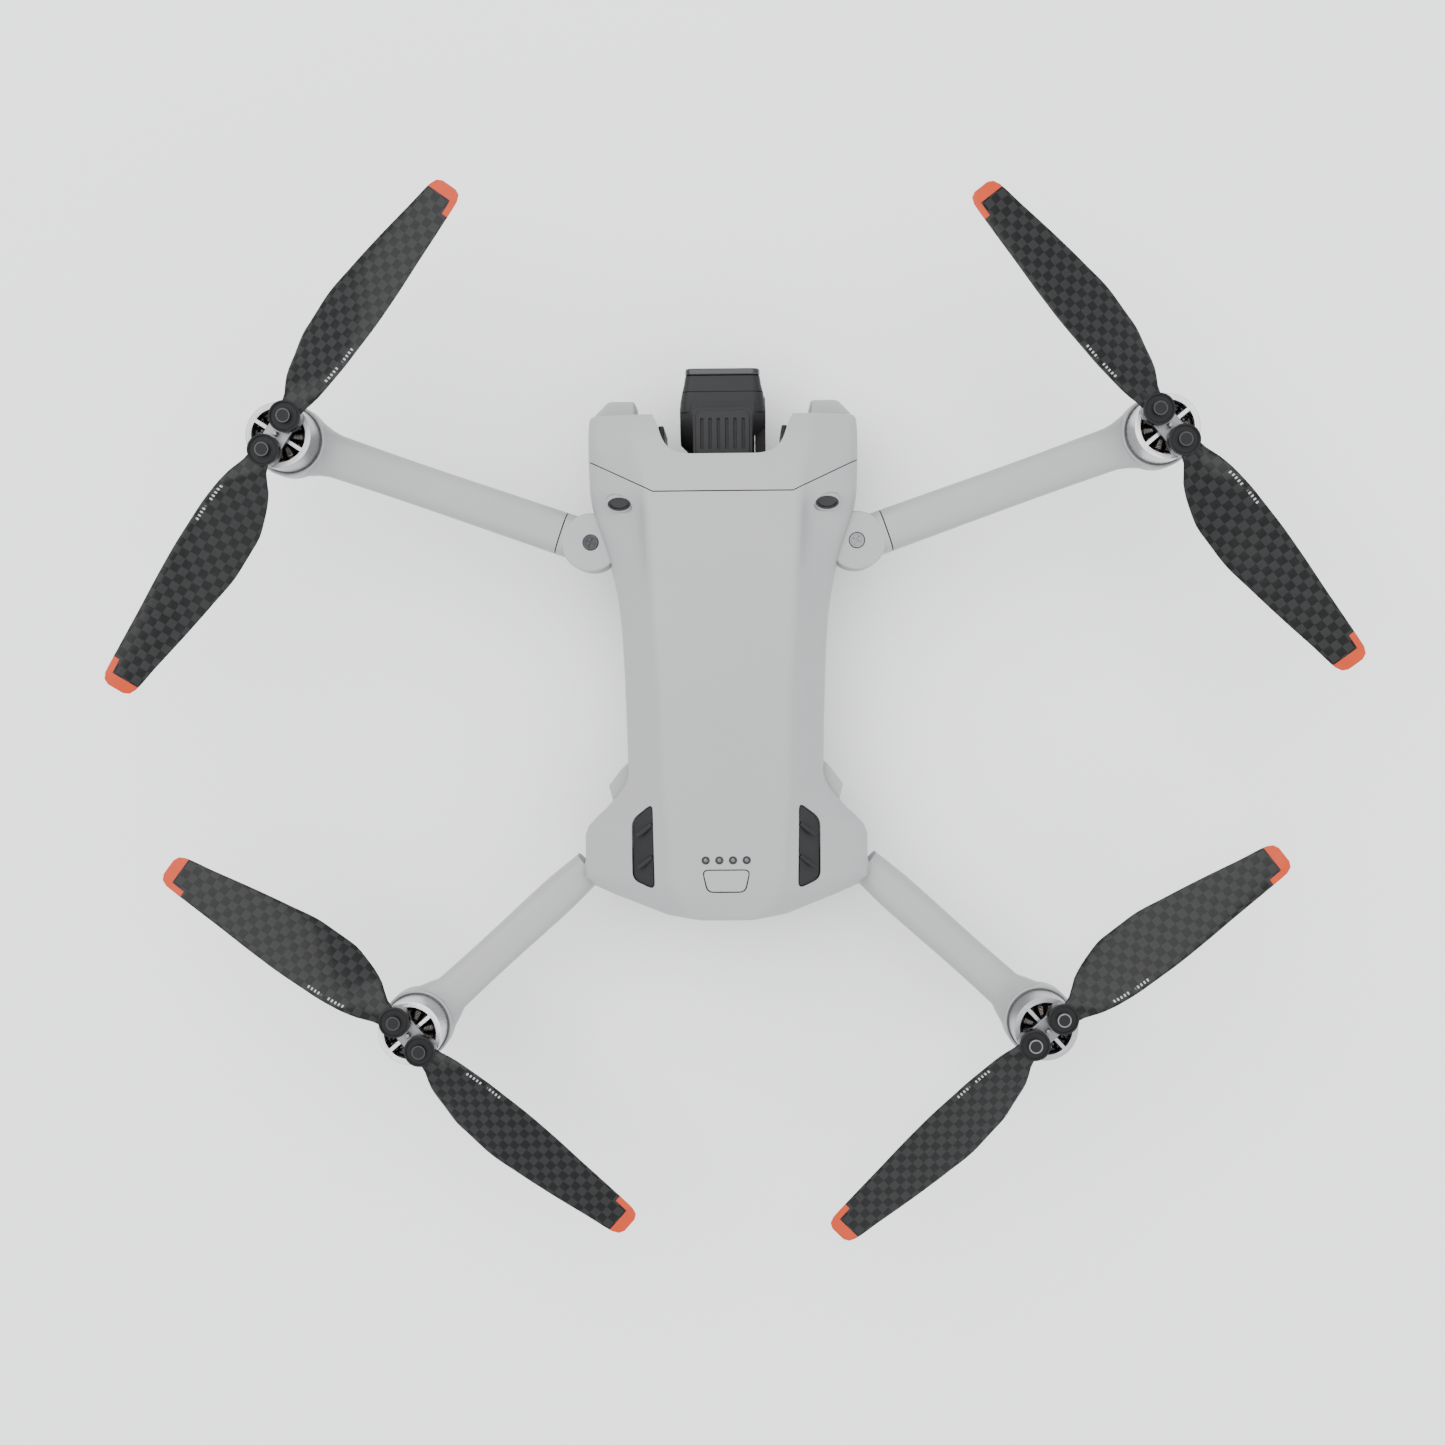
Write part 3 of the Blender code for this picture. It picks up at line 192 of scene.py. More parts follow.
def slab(outline, low, high):
    """A flat outline, shaped from a filled circle and extruded upwards."""
    deselect()
    bpy.ops.mesh.primitive_circle_add(vertices=len(outline), radius=1, fill_type="NGON")
    obj = bpy.context.object
    for vertex, point in zip(obj.data.vertices, outline):
        vertex.co = (point[0], point[1], low)
    with editing(obj):
        bpy.ops.mesh.select_all(action="SELECT")
        bpy.ops.mesh.extrude_region_move(TRANSFORM_OT_translate={"value": (0, 0, high - low)})
        bpy.ops.mesh.select_all(action="SELECT")
        bpy.ops.mesh.normals_make_consistent(inside=False)
    return obj


def loft(rings):
    """Circles are added, each is shaped to its ring of points, and they are bridged and capped."""
    count = len(rings[0])
    deselect()
    bpy.ops.mesh.primitive_circle_add(vertices=count, radius=1)
    obj = bpy.context.object
    with editing(obj):
        for _ in rings[1:]:
            bpy.ops.mesh.primitive_circle_add(vertices=count, radius=1)
    flat = [c for ring in rings for point in ring for c in point]
    obj.data.vertices.foreach_set("co", flat)
    obj.data.update()
    with editing(obj, "EDGE"):
        bpy.ops.mesh.select_all(action="SELECT")
        bpy.ops.mesh.bridge_edge_loops()
        bpy.ops.mesh.select_all(action="DESELECT")
        bpy.ops.mesh.select_non_manifold(extend=False)
        bpy.ops.mesh.fill_holes(sides=0)
        bpy.ops.mesh.select_all(action="SELECT")
        bpy.ops.mesh.normals_make_consistent(inside=False)
    return obj


def apply(obj, kind, **settings):
    """Adds a modifier with these settings and applies it."""
    choose(obj)
    bpy.ops.object.modifier_add(type=kind)
    modifier = obj.modifiers[-1]
    for name, value in settings.items():
        setattr(modifier, name, value)
    bpy.ops.object.modifier_apply(modifier=modifier.name)
    return obj


def reach_of(obj):
    return max((v.co.length for v in obj.data.vertices), default=0.0)


def combine(obj, others, operation):
    for other in others:
        before = reach_of(obj)
        apply(obj, "BOOLEAN", object=other, operation=operation, solver="EXACT")
        bpy.data.objects.remove(other)
        after = reach_of(obj)
        if not after or (operation != "UNION" and after > before + 0.01):
            raise RuntimeError(f"a {operation.lower()} on {obj.name} went wrong")
    return obj


def cut(obj, *others):
    return combine(obj, others, "DIFFERENCE")


def fuse(obj, *others):
    return combine(obj, others, "UNION")


def crop(obj, other):
    return combine(obj, [other], "INTERSECT")


def bevel(obj, width, segments=2, angle=35.0):
    return apply(
        obj,
        "BEVEL",
        width=width,
        segments=segments,
        limit_method="ANGLE",
        angle_limit=math.radians(angle),
        miter_outer="MITER_ARC",
        use_clamp_overlap=True,
    )


def copied(obj):
    twin = obj.copy()
    twin.data = obj.data.copy()
    bpy.context.scene.collection.objects.link(twin)
    return twin


def note(obj, name, measure):
    """Stores a number for each vertex, worked out from its place, for a finish to read."""
    layer = obj.data.attributes.new(name, "FLOAT", "POINT")
    layer.data.foreach_set("value", [measure(v.co) for v in obj.data.vertices])
    return obj


def finished(obj, name, body, finish, replaces=(), angle=32.0):
    """Scales to metres, smooths, names and paints a piece, and lets it ride on its body."""
    obj.scale = (MM, MM, MM)
    settle(obj)
    choose(obj)
    bpy.ops.object.shade_smooth_by_angle(angle=math.radians(angle))
    apply(obj, "WEIGHTED_NORMAL", keep_sharp=True, weight=60)
    obj.name = name
    obj.data.name = name
    obj.data.materials.clear()
    obj.data.materials.append(finish)
    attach(obj, body)
    if replaces:
        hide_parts(*replaces)
    return obj


def painted(node, finish, edge=0.0):
    """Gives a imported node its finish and, where it is wanted, rounded edges."""
    obj = FRAME["nodes"][node]
    obj.data.materials.clear()
    obj.data.materials.append(finish)
    if edge:
        weld = obj.modifiers.new("weld", "WELD")
        weld.merge_threshold = 0.00001
        soft = obj.modifiers.new("edges", "BEVEL")
        soft.width = edge * MM
        soft.segments = 2
        soft.limit_method = "ANGLE"
        soft.angle_limit = math.radians(40)
        obj.modifiers.new("normals", "WEIGHTED_NORMAL")
    return obj


def joint_place(name):
    return Vector(JOINTS[name]["pos_m"]) / MM


def node_box(name):
    low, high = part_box(name)
    return low / MM, high / MM


def curve_through(rows, step):
    """Rows between the given ones, on a smooth curve, about a step apart in their first number."""
    made = []
    last = len(rows) - 1
    for i in range(last):
        four = [rows[max(i - 1, 0)], rows[i], rows[i + 1], rows[min(i + 2, last)]]
        count = max(1, round((rows[i + 1][0] - rows[i][0]) / step))
        for k in range(count):
            made.append(between(four, k / count))
    made.append(tuple(rows[-1]))
    return made


def between(four, t):
    """One row between the middle two of four, by a cubic whose slopes don't overshoot."""
    x0, x1, x2, x3 = (row[0] for row in four)
    x = x1 + (x2 - x1) * t
    row = [x]
    for a, b, c, d in list(zip(*four))[1:]:
        rise = (c - b) / (x2 - x1)
        before = (b - a) / (x1 - x0) if x1 > x0 else rise
        after = (d - c) / (x3 - x2) if x3 > x2 else rise
        start = 0.0 if before * rise <= 0 else 2 * before * rise / (before + rise)
        end = 0.0 if after * rise <= 0 else 2 * after * rise / (after + rise)
        span = x2 - x1
        row.append(
            b * (2 * t**3 - 3 * t**2 + 1)
            + c * (3 * t**2 - 2 * t**3)
            + start * span * (t**3 - 2 * t**2 + t)
            + end * span * (t**3 - t**2)
        )
    return tuple(row)


def rounded(outline, radii, steps=4):
    """A closed outline whose corners are turned into short curves."""
    points = []
    count = len(outline)
    for i, corner in enumerate(outline):
        corner = Vector(corner)
        before = Vector(outline[i - 1]) - corner
        after = Vector(outline[(i + 1) % count]) - corner
        radius = radii[i % len(radii)]
        reach_in = min(radius, before.length * 0.45)
        reach_out = min(radius, after.length * 0.45)
        first = corner + before.normalized() * reach_in
        final = corner + after.normalized() * reach_out
        for k in range(steps + 1):
            t = k / steps
            points.append(first * (1 - t) ** 2 + corner * 2 * t * (1 - t) + final * t * t)
    return points


def oval_ring(place, across, up, half, low, high, power=2.6, count=32):
    """A rounded section: a point, two directions, a half width, its lowest and highest reach."""
    ring = []
    middle, tall = (low + high) / 2, (high - low) / 2
    for i in range(count):
        angle = 2 * math.pi * i / count
        c, s = math.cos(angle), math.sin(angle)
        x = math.copysign(abs(c) ** (2 / power), c) * half
        z = math.copysign(abs(s) ** (2 / power), s) * tall + middle
        ring.append(place + across * x + up * z)
    return ring


# Finishes


# Blade marks: where the painted tip, its leg along the leading side and the ticks begin and end.
TIP_START = 67.4
TIP_LEG_START = 63.6
TIP_LEG = 1.7
TICKS = (13.0, 23.5)
TICK_GAP = (18.0, 19.4)
TICK_ROW = (1.5, 2.2)
TOW = 2.1


class Number:
    """A value that varies over a surface. Arithmetic on it adds Math nodes."""

    def __init__(self, finish, socket):
        self.finish = finish
        self.socket = socket

    def _maths(self, operation, *values):
        return self.finish.add("Math", {"operation": operation}, *values)

    def __add__(self, other):
        return self._maths("ADD", self, other)

    __radd__ = __add__

    def __sub__(self, other):
        return self._maths("SUBTRACT", self, other)

    def __rsub__(self, other):
        return self._maths("SUBTRACT", other, self)

    def __mul__(self, other):
        return self._maths("MULTIPLY", self, other)

    __rmul__ = __mul__

    def __truediv__(self, other):
        return self._maths("DIVIDE", self, other)

    def __gt__(self, other):
        return self._maths("GREATER_THAN", self, other)

    def __lt__(self, other):
        return self._maths("LESS_THAN", self, other)

    def __mod__(self, other):
        return self._maths("FLOORED_MODULO", self, other)

    def floor(self):
        return self._maths("FLOOR", self)

    def sine(self):
        return self._maths("SINE", self)

    def size(self):
        return self._maths("ABSOLUTE", self)

    def most(self, other):
        return self._maths("MAXIMUM", self, other)


class Finish:
    """A material on one Principled shader, whose constants are set on the shader's own sockets."""

    def __init__(self, name, **constants):
        self.material = bpy.data.materials.new(name)
        self.material.use_nodes = True
        self.tree = self.material.node_tree
        self.shader = self.tree.nodes["Principled BSDF"]
        for socket, value in constants.items():
            self.shader.inputs[socket.replace("_", " ")].default_value = value
        self.material.diffuse_color = self.shader.inputs["Base Color"].default_value

    def add(self, kind, settings, *values, output=0, **named):
        """One node of a type, with its settings, then the values or links of its sockets."""
        node = self.tree.nodes.new("ShaderNode" + kind)
        for name, value in settings.items():
            setattr(node, name, value)
        for key, value in [*enumerate(values), *named.items()]:
            key = key.replace("_", " ") if isinstance(key, str) else key
            if isinstance(value, Number):
                self.tree.links.new(value.socket, node.inputs[key])
            else:
                node.inputs[key].default_value = value
        return Number(self, node.outputs[output])

    def place(self):
        return self.add("TexCoord", {}, output="Object")

    def noise(self, scale, detail=3.0, roughness=0.5):
        return self.add(
            "TexNoise", {}, Vector=self.place(), Scale=scale, Detail=detail, Roughness=roughness
        )

    def mix(self, factor, first, second):
        """A colour between two, each a colour or a link."""
        node = self.tree.nodes.new("ShaderNodeMix")
        node.data_type = "RGBA"
        for socket, value in ((0, factor), (6, first), (7, second)):
            if isinstance(value, Number):
                self.tree.links.new(value.socket, node.inputs[socket])
            else:
                node.inputs[socket].default_value = value
        return Number(self, node.outputs[2])

    def attribute(self, name):
        return self.add("Attribute", {"attribute_name": name}, output="Fac")

    def feed(self, socket, value):
        self.tree.links.new(value.socket, self.shader.inputs[socket])

    def relief(self, height, strength, distance=0.0001):
        bump = self.add("Bump", {}, Strength=strength, Distance=distance, Height=height)
        self.feed("Normal", bump)


def shade(colour, factor=1.0):
    return (*[c * factor for c in colour[:3]], 1.0)


def plastic(name, colour, roughness, grain=0.12, wear=0.05, coat=0.0, shine=0.5):
    """Moulded plastic: slow colour drift, uneven gloss, and the fine spark texture of a mould."""
    finish = Finish(
        name,
        Base_Color=shade(colour),
        Roughness=roughness,
        Coat_Weight=coat,
        Specular_IOR_Level=shine,
    )
    drift = finish.noise(38.0, 4.0)
    finish.feed("Base Color", finish.mix(drift, shade(colour, 1 - wear), shade(colour, 1 + wear)))
    fine = finish.noise(2600.0, 2.0)
    uneven = finish.noise(210.0, 5.0, 0.6)
    finish.feed("Roughness", uneven * 0.16 + fine * 0.06 + (roughness - 0.11))
    finish.relief(fine * 0.7 + finish.noise(900.0, 2.0) * 0.3, grain)
    return finish.material


def gloss(name, colour, roughness=0.06):
    """Polished black window: nearly clean, with faint dust and wiping marks."""
    finish = Finish(
        name,
        Base_Color=shade(colour),
        Roughness=roughness,
        Coat_Weight=0.2,
        Specular_IOR_Level=0.3,
    )
    dust = finish.noise(700.0, 6.0, 0.7) > 0.71
    finish.feed("Base Color", finish.mix(dust * 0.25, shade(colour), (0.10, 0.10, 0.11, 1)))
    finish.feed("Roughness", finish.noise(120.0, 4.0) * 0.10 + (roughness - 0.02))
    return finish.material


def metal(name, colour, roughness, lines=0.0, spacing=0.35, grain=0.06):
    """Metal, with turned rings where its piece stores how far each point is from its axis."""
    finish = Finish(name, Base_Color=shade(colour), Roughness=roughness, Metallic=1.0)
    stain = finish.noise(160.0, 4.0)
    finish.feed("Base Color", finish.mix(stain, shade(colour, 0.86), shade(colour)))
    fine = finish.noise(1900.0, 3.0)
    finish.feed("Roughness", fine * 0.14 + stain * 0.08 + (roughness - 0.10))
    height = fine * grain
    if lines:
        height = height + (finish.attribute("turn") * (2 * math.pi / spacing)).sine() * lines
    finish.relief(height, 0.5, 0.00005)
    return finish.material


def carbon(name, dark, light, tip):
    """Checked carbon weave under lacquer, with a coloured tip and plain ticks by the root."""
    finish = Finish(
        name, Base_Color=shade(dark), Roughness=0.3, Coat_Weight=0.12, Specular_IOR_Level=0.1
    )
    finish.shader.inputs["Coat Roughness"].default_value = 0.12
    run = finish.attribute("run")
    across = finish.attribute("across")
    edge = finish.attribute("edge")
    wobble = finish.noise(420.0, 2.0) * 0.5
    u = (run + wobble) / TOW
    v = (across + wobble) / TOW
    check = (u.floor() + v.floor()) % 2.0
    fibres = (run * 21.0).sine() * check + (across * 21.0).sine() * (1 - check)
    patch = finish.noise(300.0, 3.0)
    tone = check * 0.62 + patch * 0.34 + fibres * 0.05
    weave = finish.mix(tone, shade(dark), shade(light))
    end = (run > TIP_START).most((run > TIP_LEG_START) * (edge < TIP_LEG))
    tick = (run > TICKS[0]) * (run < TICKS[1]) * (edge > TICK_ROW[0]) * (edge < TICK_ROW[1])
    tick = tick * ((run % 1.0) < 0.45) * (1 - (run > TICK_GAP[0]) * (run < TICK_GAP[1]))
    marked = finish.mix(tick * 0.55, weave, (0.55, 0.55, 0.55, 1))
    paint = finish.mix(patch, shade(tip, 0.9), shade(tip, 1.12))
    finish.feed("Base Color", finish.mix(end, marked, paint))
    finish.feed("Roughness", check * 0.14 + patch * 0.16 + end * 0.12 + 0.18)
    pillow = (u * math.pi).sine().size() * (v * math.pi).sine().size()
    finish.relief(pillow * (1 - end) + fibres * 0.06, 0.22, 0.00012)
    return finish.material


def windings(name, colour):
    """Enamelled wire laid in turns round each tooth, its colour darker in the grooves between turns
    as painted shade.
    """
    finish = Finish(name, Base_Color=shade(colour), Roughness=0.28, Metallic=1.0)
    turn = (finish.attribute("turn") * (2 * math.pi / 0.42)).sine()
    # The colour darkens where the bumps dip between turns, a painted shade, and the noise adds a
    # random tone.
    tone = turn * 0.35 + finish.noise(900.0, 2.0) * 0.4 + 0.2
    finish.feed("Base Color", finish.mix(tone, shade(colour, 0.25), shade(colour)))
    finish.feed("Roughness", finish.noise(1300.0, 2.0) * 0.3 + 0.16)
    finish.relief(turn, 0.8, 0.00015)
    return finish.material


def circuit(name):
    """Solder mask over copper tracks."""
    finish = Finish(name, Base_Color=(0.01, 0.08, 0.04, 1), Roughness=0.35)
    cells = finish.add(
        "TexVoronoi",
        {"distance": "MANHATTAN", "feature": "F1"},
        Vector=finish.place(),
        Scale=320.0,
    )
    track = (cells % 0.24) < 0.07
    finish.feed(
        "Base Color", finish.mix(track, (0.008, 0.07, 0.035, 1), (0.03, 0.20, 0.09, 1))
    )
    finish.feed("Roughness", finish.noise(500.0) * 0.3 + 0.2)
    finish.relief(track, 0.3)
    return finish.material


class CraftColours(bpy.types.PropertyGroup):
    """Colours that a user of the model is most likely to change."""

    shell: FloatVectorProperty(
        name="Shell", description="Pale plastic of the shells and arms",
        subtype="COLOR", size=3, min=0, max=1, default=(0.27, 0.27, 0.27),
    )
    dark: FloatVectorProperty(
        name="Dark plastic", description="Vents, camera and gimbal",
        subtype="COLOR", size=3, min=0, max=1, default=(0.017, 0.017, 0.0175),
    )
    weave_dark: FloatVectorProperty(
        name="Weave, dark", description="Darker tows of the blades",
        subtype="COLOR", size=3, min=0, max=1, default=(0.002, 0.002, 0.002),
    )
    weave_light: FloatVectorProperty(
        name="Weave, light", description="Lighter tows of the blades",
        subtype="COLOR", size=3, min=0, max=1, default=(0.018, 0.018, 0.018),
    )
    tip: FloatVectorProperty(
        name="Blade tips", description="Painted mark at the end of each blade",
        subtype="COLOR", size=3, min=0, max=1, default=(0.40, 0.042, 0.012),
    )
    copper: FloatVectorProperty(
        name="Windings", description="Enamelled wire in the motors",
        subtype="COLOR", size=3, min=0, max=1, default=(0.60, 0.54, 0.50),
    )


FINISHES = {}


def prepare_finishes(colours):
    if FINISHES:
        return
    FINISHES.update(
        shell=plastic("satin_shell_plastic", colours.shell, 0.46, 0.10, 0.03),
        dark=plastic("dark_moulded_plastic", colours.dark, 0.42, 0.22, 0.18, shine=0.12),
        rubber=plastic("clamp_disc_plastic", shade(colours.dark, 0.6), 0.5, 0.3, 0.2, shine=0.12),
        trim=gloss("glossy_black_trim", (0.012, 0.012, 0.013), 0.14),
        glass=gloss("dark_lens_glass", (0.004, 0.004, 0.006)),
        lamp=plastic("light_lens", (0.06, 0.06, 0.062), 0.25, 0.05, 0.1, 0.4),
        carbon=carbon("carbon_weave", colours.weave_dark, colours.weave_light, colours.tip),
        # bright and shaded are lit and shaded copies of one turned aluminium: the paler bright one
        # is a painted highlight, the darker shaded one a painted shade.
        bright=metal("turned_aluminium_painted_highlight", (0.56, 0.56, 0.57), 0.26, 0.3),
        shaded=metal("turned_aluminium_painted_shade", (0.33, 0.33, 0.335), 0.32, 0.3),
        steel=metal("machined_screw_steel", (0.17, 0.17, 0.175), 0.34, 0.25, 0.3),
        blacked=metal("blackened_steel", (0.045, 0.045, 0.048), 0.4),
        copper=windings("enamelled_windings", colours.copper),
        board=circuit("solder_masked_board"),
    )


def finish_for(name):
    prepare_finishes(bpy.context.scene.craft_colours)
    return FINISHES[name]


# Body shells


# Corner radii of a section, from the middle of the belly round to it again.
CORNERS = (3.0, 8.0, 7.0, 8.0, 4.0, 6.0, 2.6, 1.8, 3.0, 1.8, 2.6, 6.0, 4.0, 8.0, 7.0, 8.0)
SHELL_WALL = 1.4
SEAM_EDGE = 0.22
TAIL_START = 57.0
FRONT_START = -50.0
FRONT_BLEND = 8.0
WINDOW_TALL = 2.15
WINDOW_ANGLE = math.radians(40)
WINDOW_TILT = Vector((0, math.sin(WINDOW_ANGLE), math.cos(WINDOW_ANGLE)))
TOP_CUT = 36.0
SPINE_SEAM = 18.0
BAY_HALF = 15.3
BAY_BACK = -46.5
BAY_TOP = 41.0
# Half of the nose's notch for the camera, from its mouth back to its floor.
NOTCH = ((18.6, -FAR), (18.6, -66.4), (17.0, -63.8), (15.7, -59.2), (13.8, -56.5), (10.2, -55.2))
# Plan of the pad round a rear hinge, and of a forward vision housing.
HOUSE = ((24.5, 24.5), (27.0, 25.5), (36.6, 38.0), (37.0, 41.5), (26.0, 41.5))
TAB = ((23.2, -62.0), (23.2, -71.0), (30.4, -71.0), (34.6, -66.6), (34.6, -62.0))
BATTERY_CORE = ((-19.5, -24.0, 5.5), (19.5, 54.0, 27.5))
CAP_SEAM = 52.3
FINGER_RECESS = (27.5, 59.2, 7.0)
SLOT_COUNT = 9
SLOT_START = -20.0
SLOT_PITCH = 3.4
SLOT_WIDTH = 1.3
SLOT_HALF = 9.0
BELLY_SCREWS = (17.0, (-42.0, 36.0))
# Hinges, shared by the shells and the arms.
KNUCKLE_RADIUS = 7.7
KNUCKLE_RECESS = 8.1
HINGE_BORE = 1.6
REAR_HINGE_ANGLE = math.radians(-19.3)


class CraftBody(bpy.types.PropertyGroup):
    """Sizes of the shells and what is set into them, in millimetres."""

    belt: FloatProperty(
        name="Belt", description="Height of the seam between the shells",
        default=node_box("upper_shell")[0].z,
    )
    seam: FloatProperty(
        name="Nose seam", description="Place of the seam behind the nose cover",
        default=node_box("nose_cover")[1].y,
    )
    window: FloatProperty(
        name="Rear window", description="Half width of a rear vision window", min=0, default=2.95
    )
    dot: FloatProperty(
        name="Light dot", description="Radius of one battery light", min=0, default=0.98
    )


def body_form(inset=0.0):
    """The whole outer form of the body, or one inside it for its hollow."""
    rings = []
    first, last = STATIONS[0][0], STATIONS[-1][0]
    for y, width, top, spine, flank, shoulder, belly in curve_through(STATIONS, 2.2):
        w = width - inset
        front = max(0.0, min(1.0, (FRONT_START - y) / FRONT_BLEND))
        share = 0.94 + 0.04 * front
        radii = [radius * (1 - 0.55 * front) for radius in CORNERS]
        half = [
            (0.0, belly + inset),
            (0.74 * w, belly + inset),
            (0.955 * w, belly + 6.0),
            (w, belly + 13.0),
            (w, shoulder - 3.0),
            (share * w, shoulder + 1.2 * front - inset * 0.8),
            (spine + 2.2, flank - inset),
            (spine, top - 0.4 - inset),
            (0.0, top - inset),
        ]
        outline = half + [(-x, z) for x, z in reversed(half[1:-1])]
        shift = inset if y == first else -inset if y > TAIL_START else 0.0
        if inset and y == last:
            continue
        rings.append([(x, y + shift, z) for x, z in rounded(outline, radii)])
    form = loft(rings)
    if not inset:
        for place, width in ((first, 1.1), (last, 1.6)):
            with editing(form, "EDGE") as mesh:
                pick(
                    form,
                    mesh.edges,
                    lambda c, e, place=place: all(abs(v.co.y - place) < 0.01 for v in e.verts),
                )
                bpy.ops.mesh.bevel(offset=width, segments=4)
    return form


def both_ways(points):
    return [*points, *((-x, y) for x, y in reversed(points) if abs(x) > 0.001)]


def flat_rounded(outline, radius, steps=4):
    return [(p.x, p.y) for p in rounded([(*p, 0.0) for p in outline], [radius], steps)]


def height_on(form, x, y):
    hit, place = form.ray_cast((x, y, FAR), (0, 0, -1))[:2]
    if not hit:
        raise RuntimeError(f"nothing lies below {x}, {y}")
    return place.z


def laid_on(form, outline, rise, depth, lines=()):
    """A slab whose top follows the form, standing above it by rise."""
    piece = slab(outline, 0.0, 1.0)
    for axis, place in lines:
        with editing(piece):
            bpy.ops.mesh.select_all(action="SELECT")
            normal = (1, 0, 0) if axis == 0 else (0, 1, 0)
            point = (place, 0, 0) if axis == 0 else (0, place, 0)
            bpy.ops.mesh.bisect(plane_co=point, plane_no=normal)
    for vertex in piece.data.vertices:
        x, y, upper = vertex.co
        vertex.co.z = height_on(form, x, y) + (rise if upper > 0.5 else rise - depth)
    piece.data.update()
    return piece


def seam_slab(front, seam, high):
    """Everything ahead of the nose seam, which is straight across the spine and sweeps forward."""
    reach = FAR - SPINE_SEAM
    outline = [(SPINE_SEAM, seam), (FAR, seam - 0.5 * reach), (FAR, -2 * FAR)]
    return slab(both_ways(outline), front, high)


def notch_slab():
    return slab(flat_rounded(both_ways(NOTCH), 2.4), -5.0, FAR)


def bay(low):
    """The room behind the notch for the gimbal."""
    return block((-BAY_HALF, -FAR, low), (BAY_HALF, BAY_BACK, BAY_TOP))


def oval(half, tall, low, high):
    """An upright oval rod."""
    piece = rod(1.0, low, high, sides=64)
    piece.scale = (half, tall, 1.0)
    return settle(piece)


def window_spots():
    for side, sign in SIDES:
        low, high = node_box(f"rear_vision_window_{side}")
        yield side, sign, (low + high) / 2 + WINDOW_TILT * 0.6


def vent_outline(side, sign, grow):
    low, high = node_box(f"vent_{side}")
    inner = min(abs(low.x), abs(high.x)) - grow
    outer = max(abs(low.x), abs(high.x)) + grow
    outline = [
        (sign * inner, low.y - grow),
        (sign * (inner - 0.3), high.y + grow),
        (sign * outer, high.y - 2.6 + grow),
        (sign * outer, low.y + 4.6 - grow),
    ]
    return flat_rounded(outline, 1.7 + grow)


def button_outline(grow):
    low, high = node_box("power_button")
    wide = high.x + grow
    outline = both_ways([(wide, low.y - grow), (wide - 1.3, high.y + grow)])
    return flat_rounded(outline, 1.5 + grow)


def light_spots():
    low, high = node_box("status_light_guide")
    pitch = (high.x - low.x - 3.0) / 3
    return [(low.x + 1.5 + i * pitch, (low.y + high.y) / 2) for i in range(4)]


def knuckle_recess(sign):
    pivot = joint_place("front_arm_left_fold")
    return rod(KNUCKLE_RECESS, 21.7, 35.4, (sign * pivot.x, pivot.y), 64)


def rear_hinge_way(sign):
    """The direction of a rear hinge's pin, outwards."""
    return Vector((sign * math.cos(REAR_HINGE_ANGLE), math.sin(REAR_HINGE_ANGLE), 0))


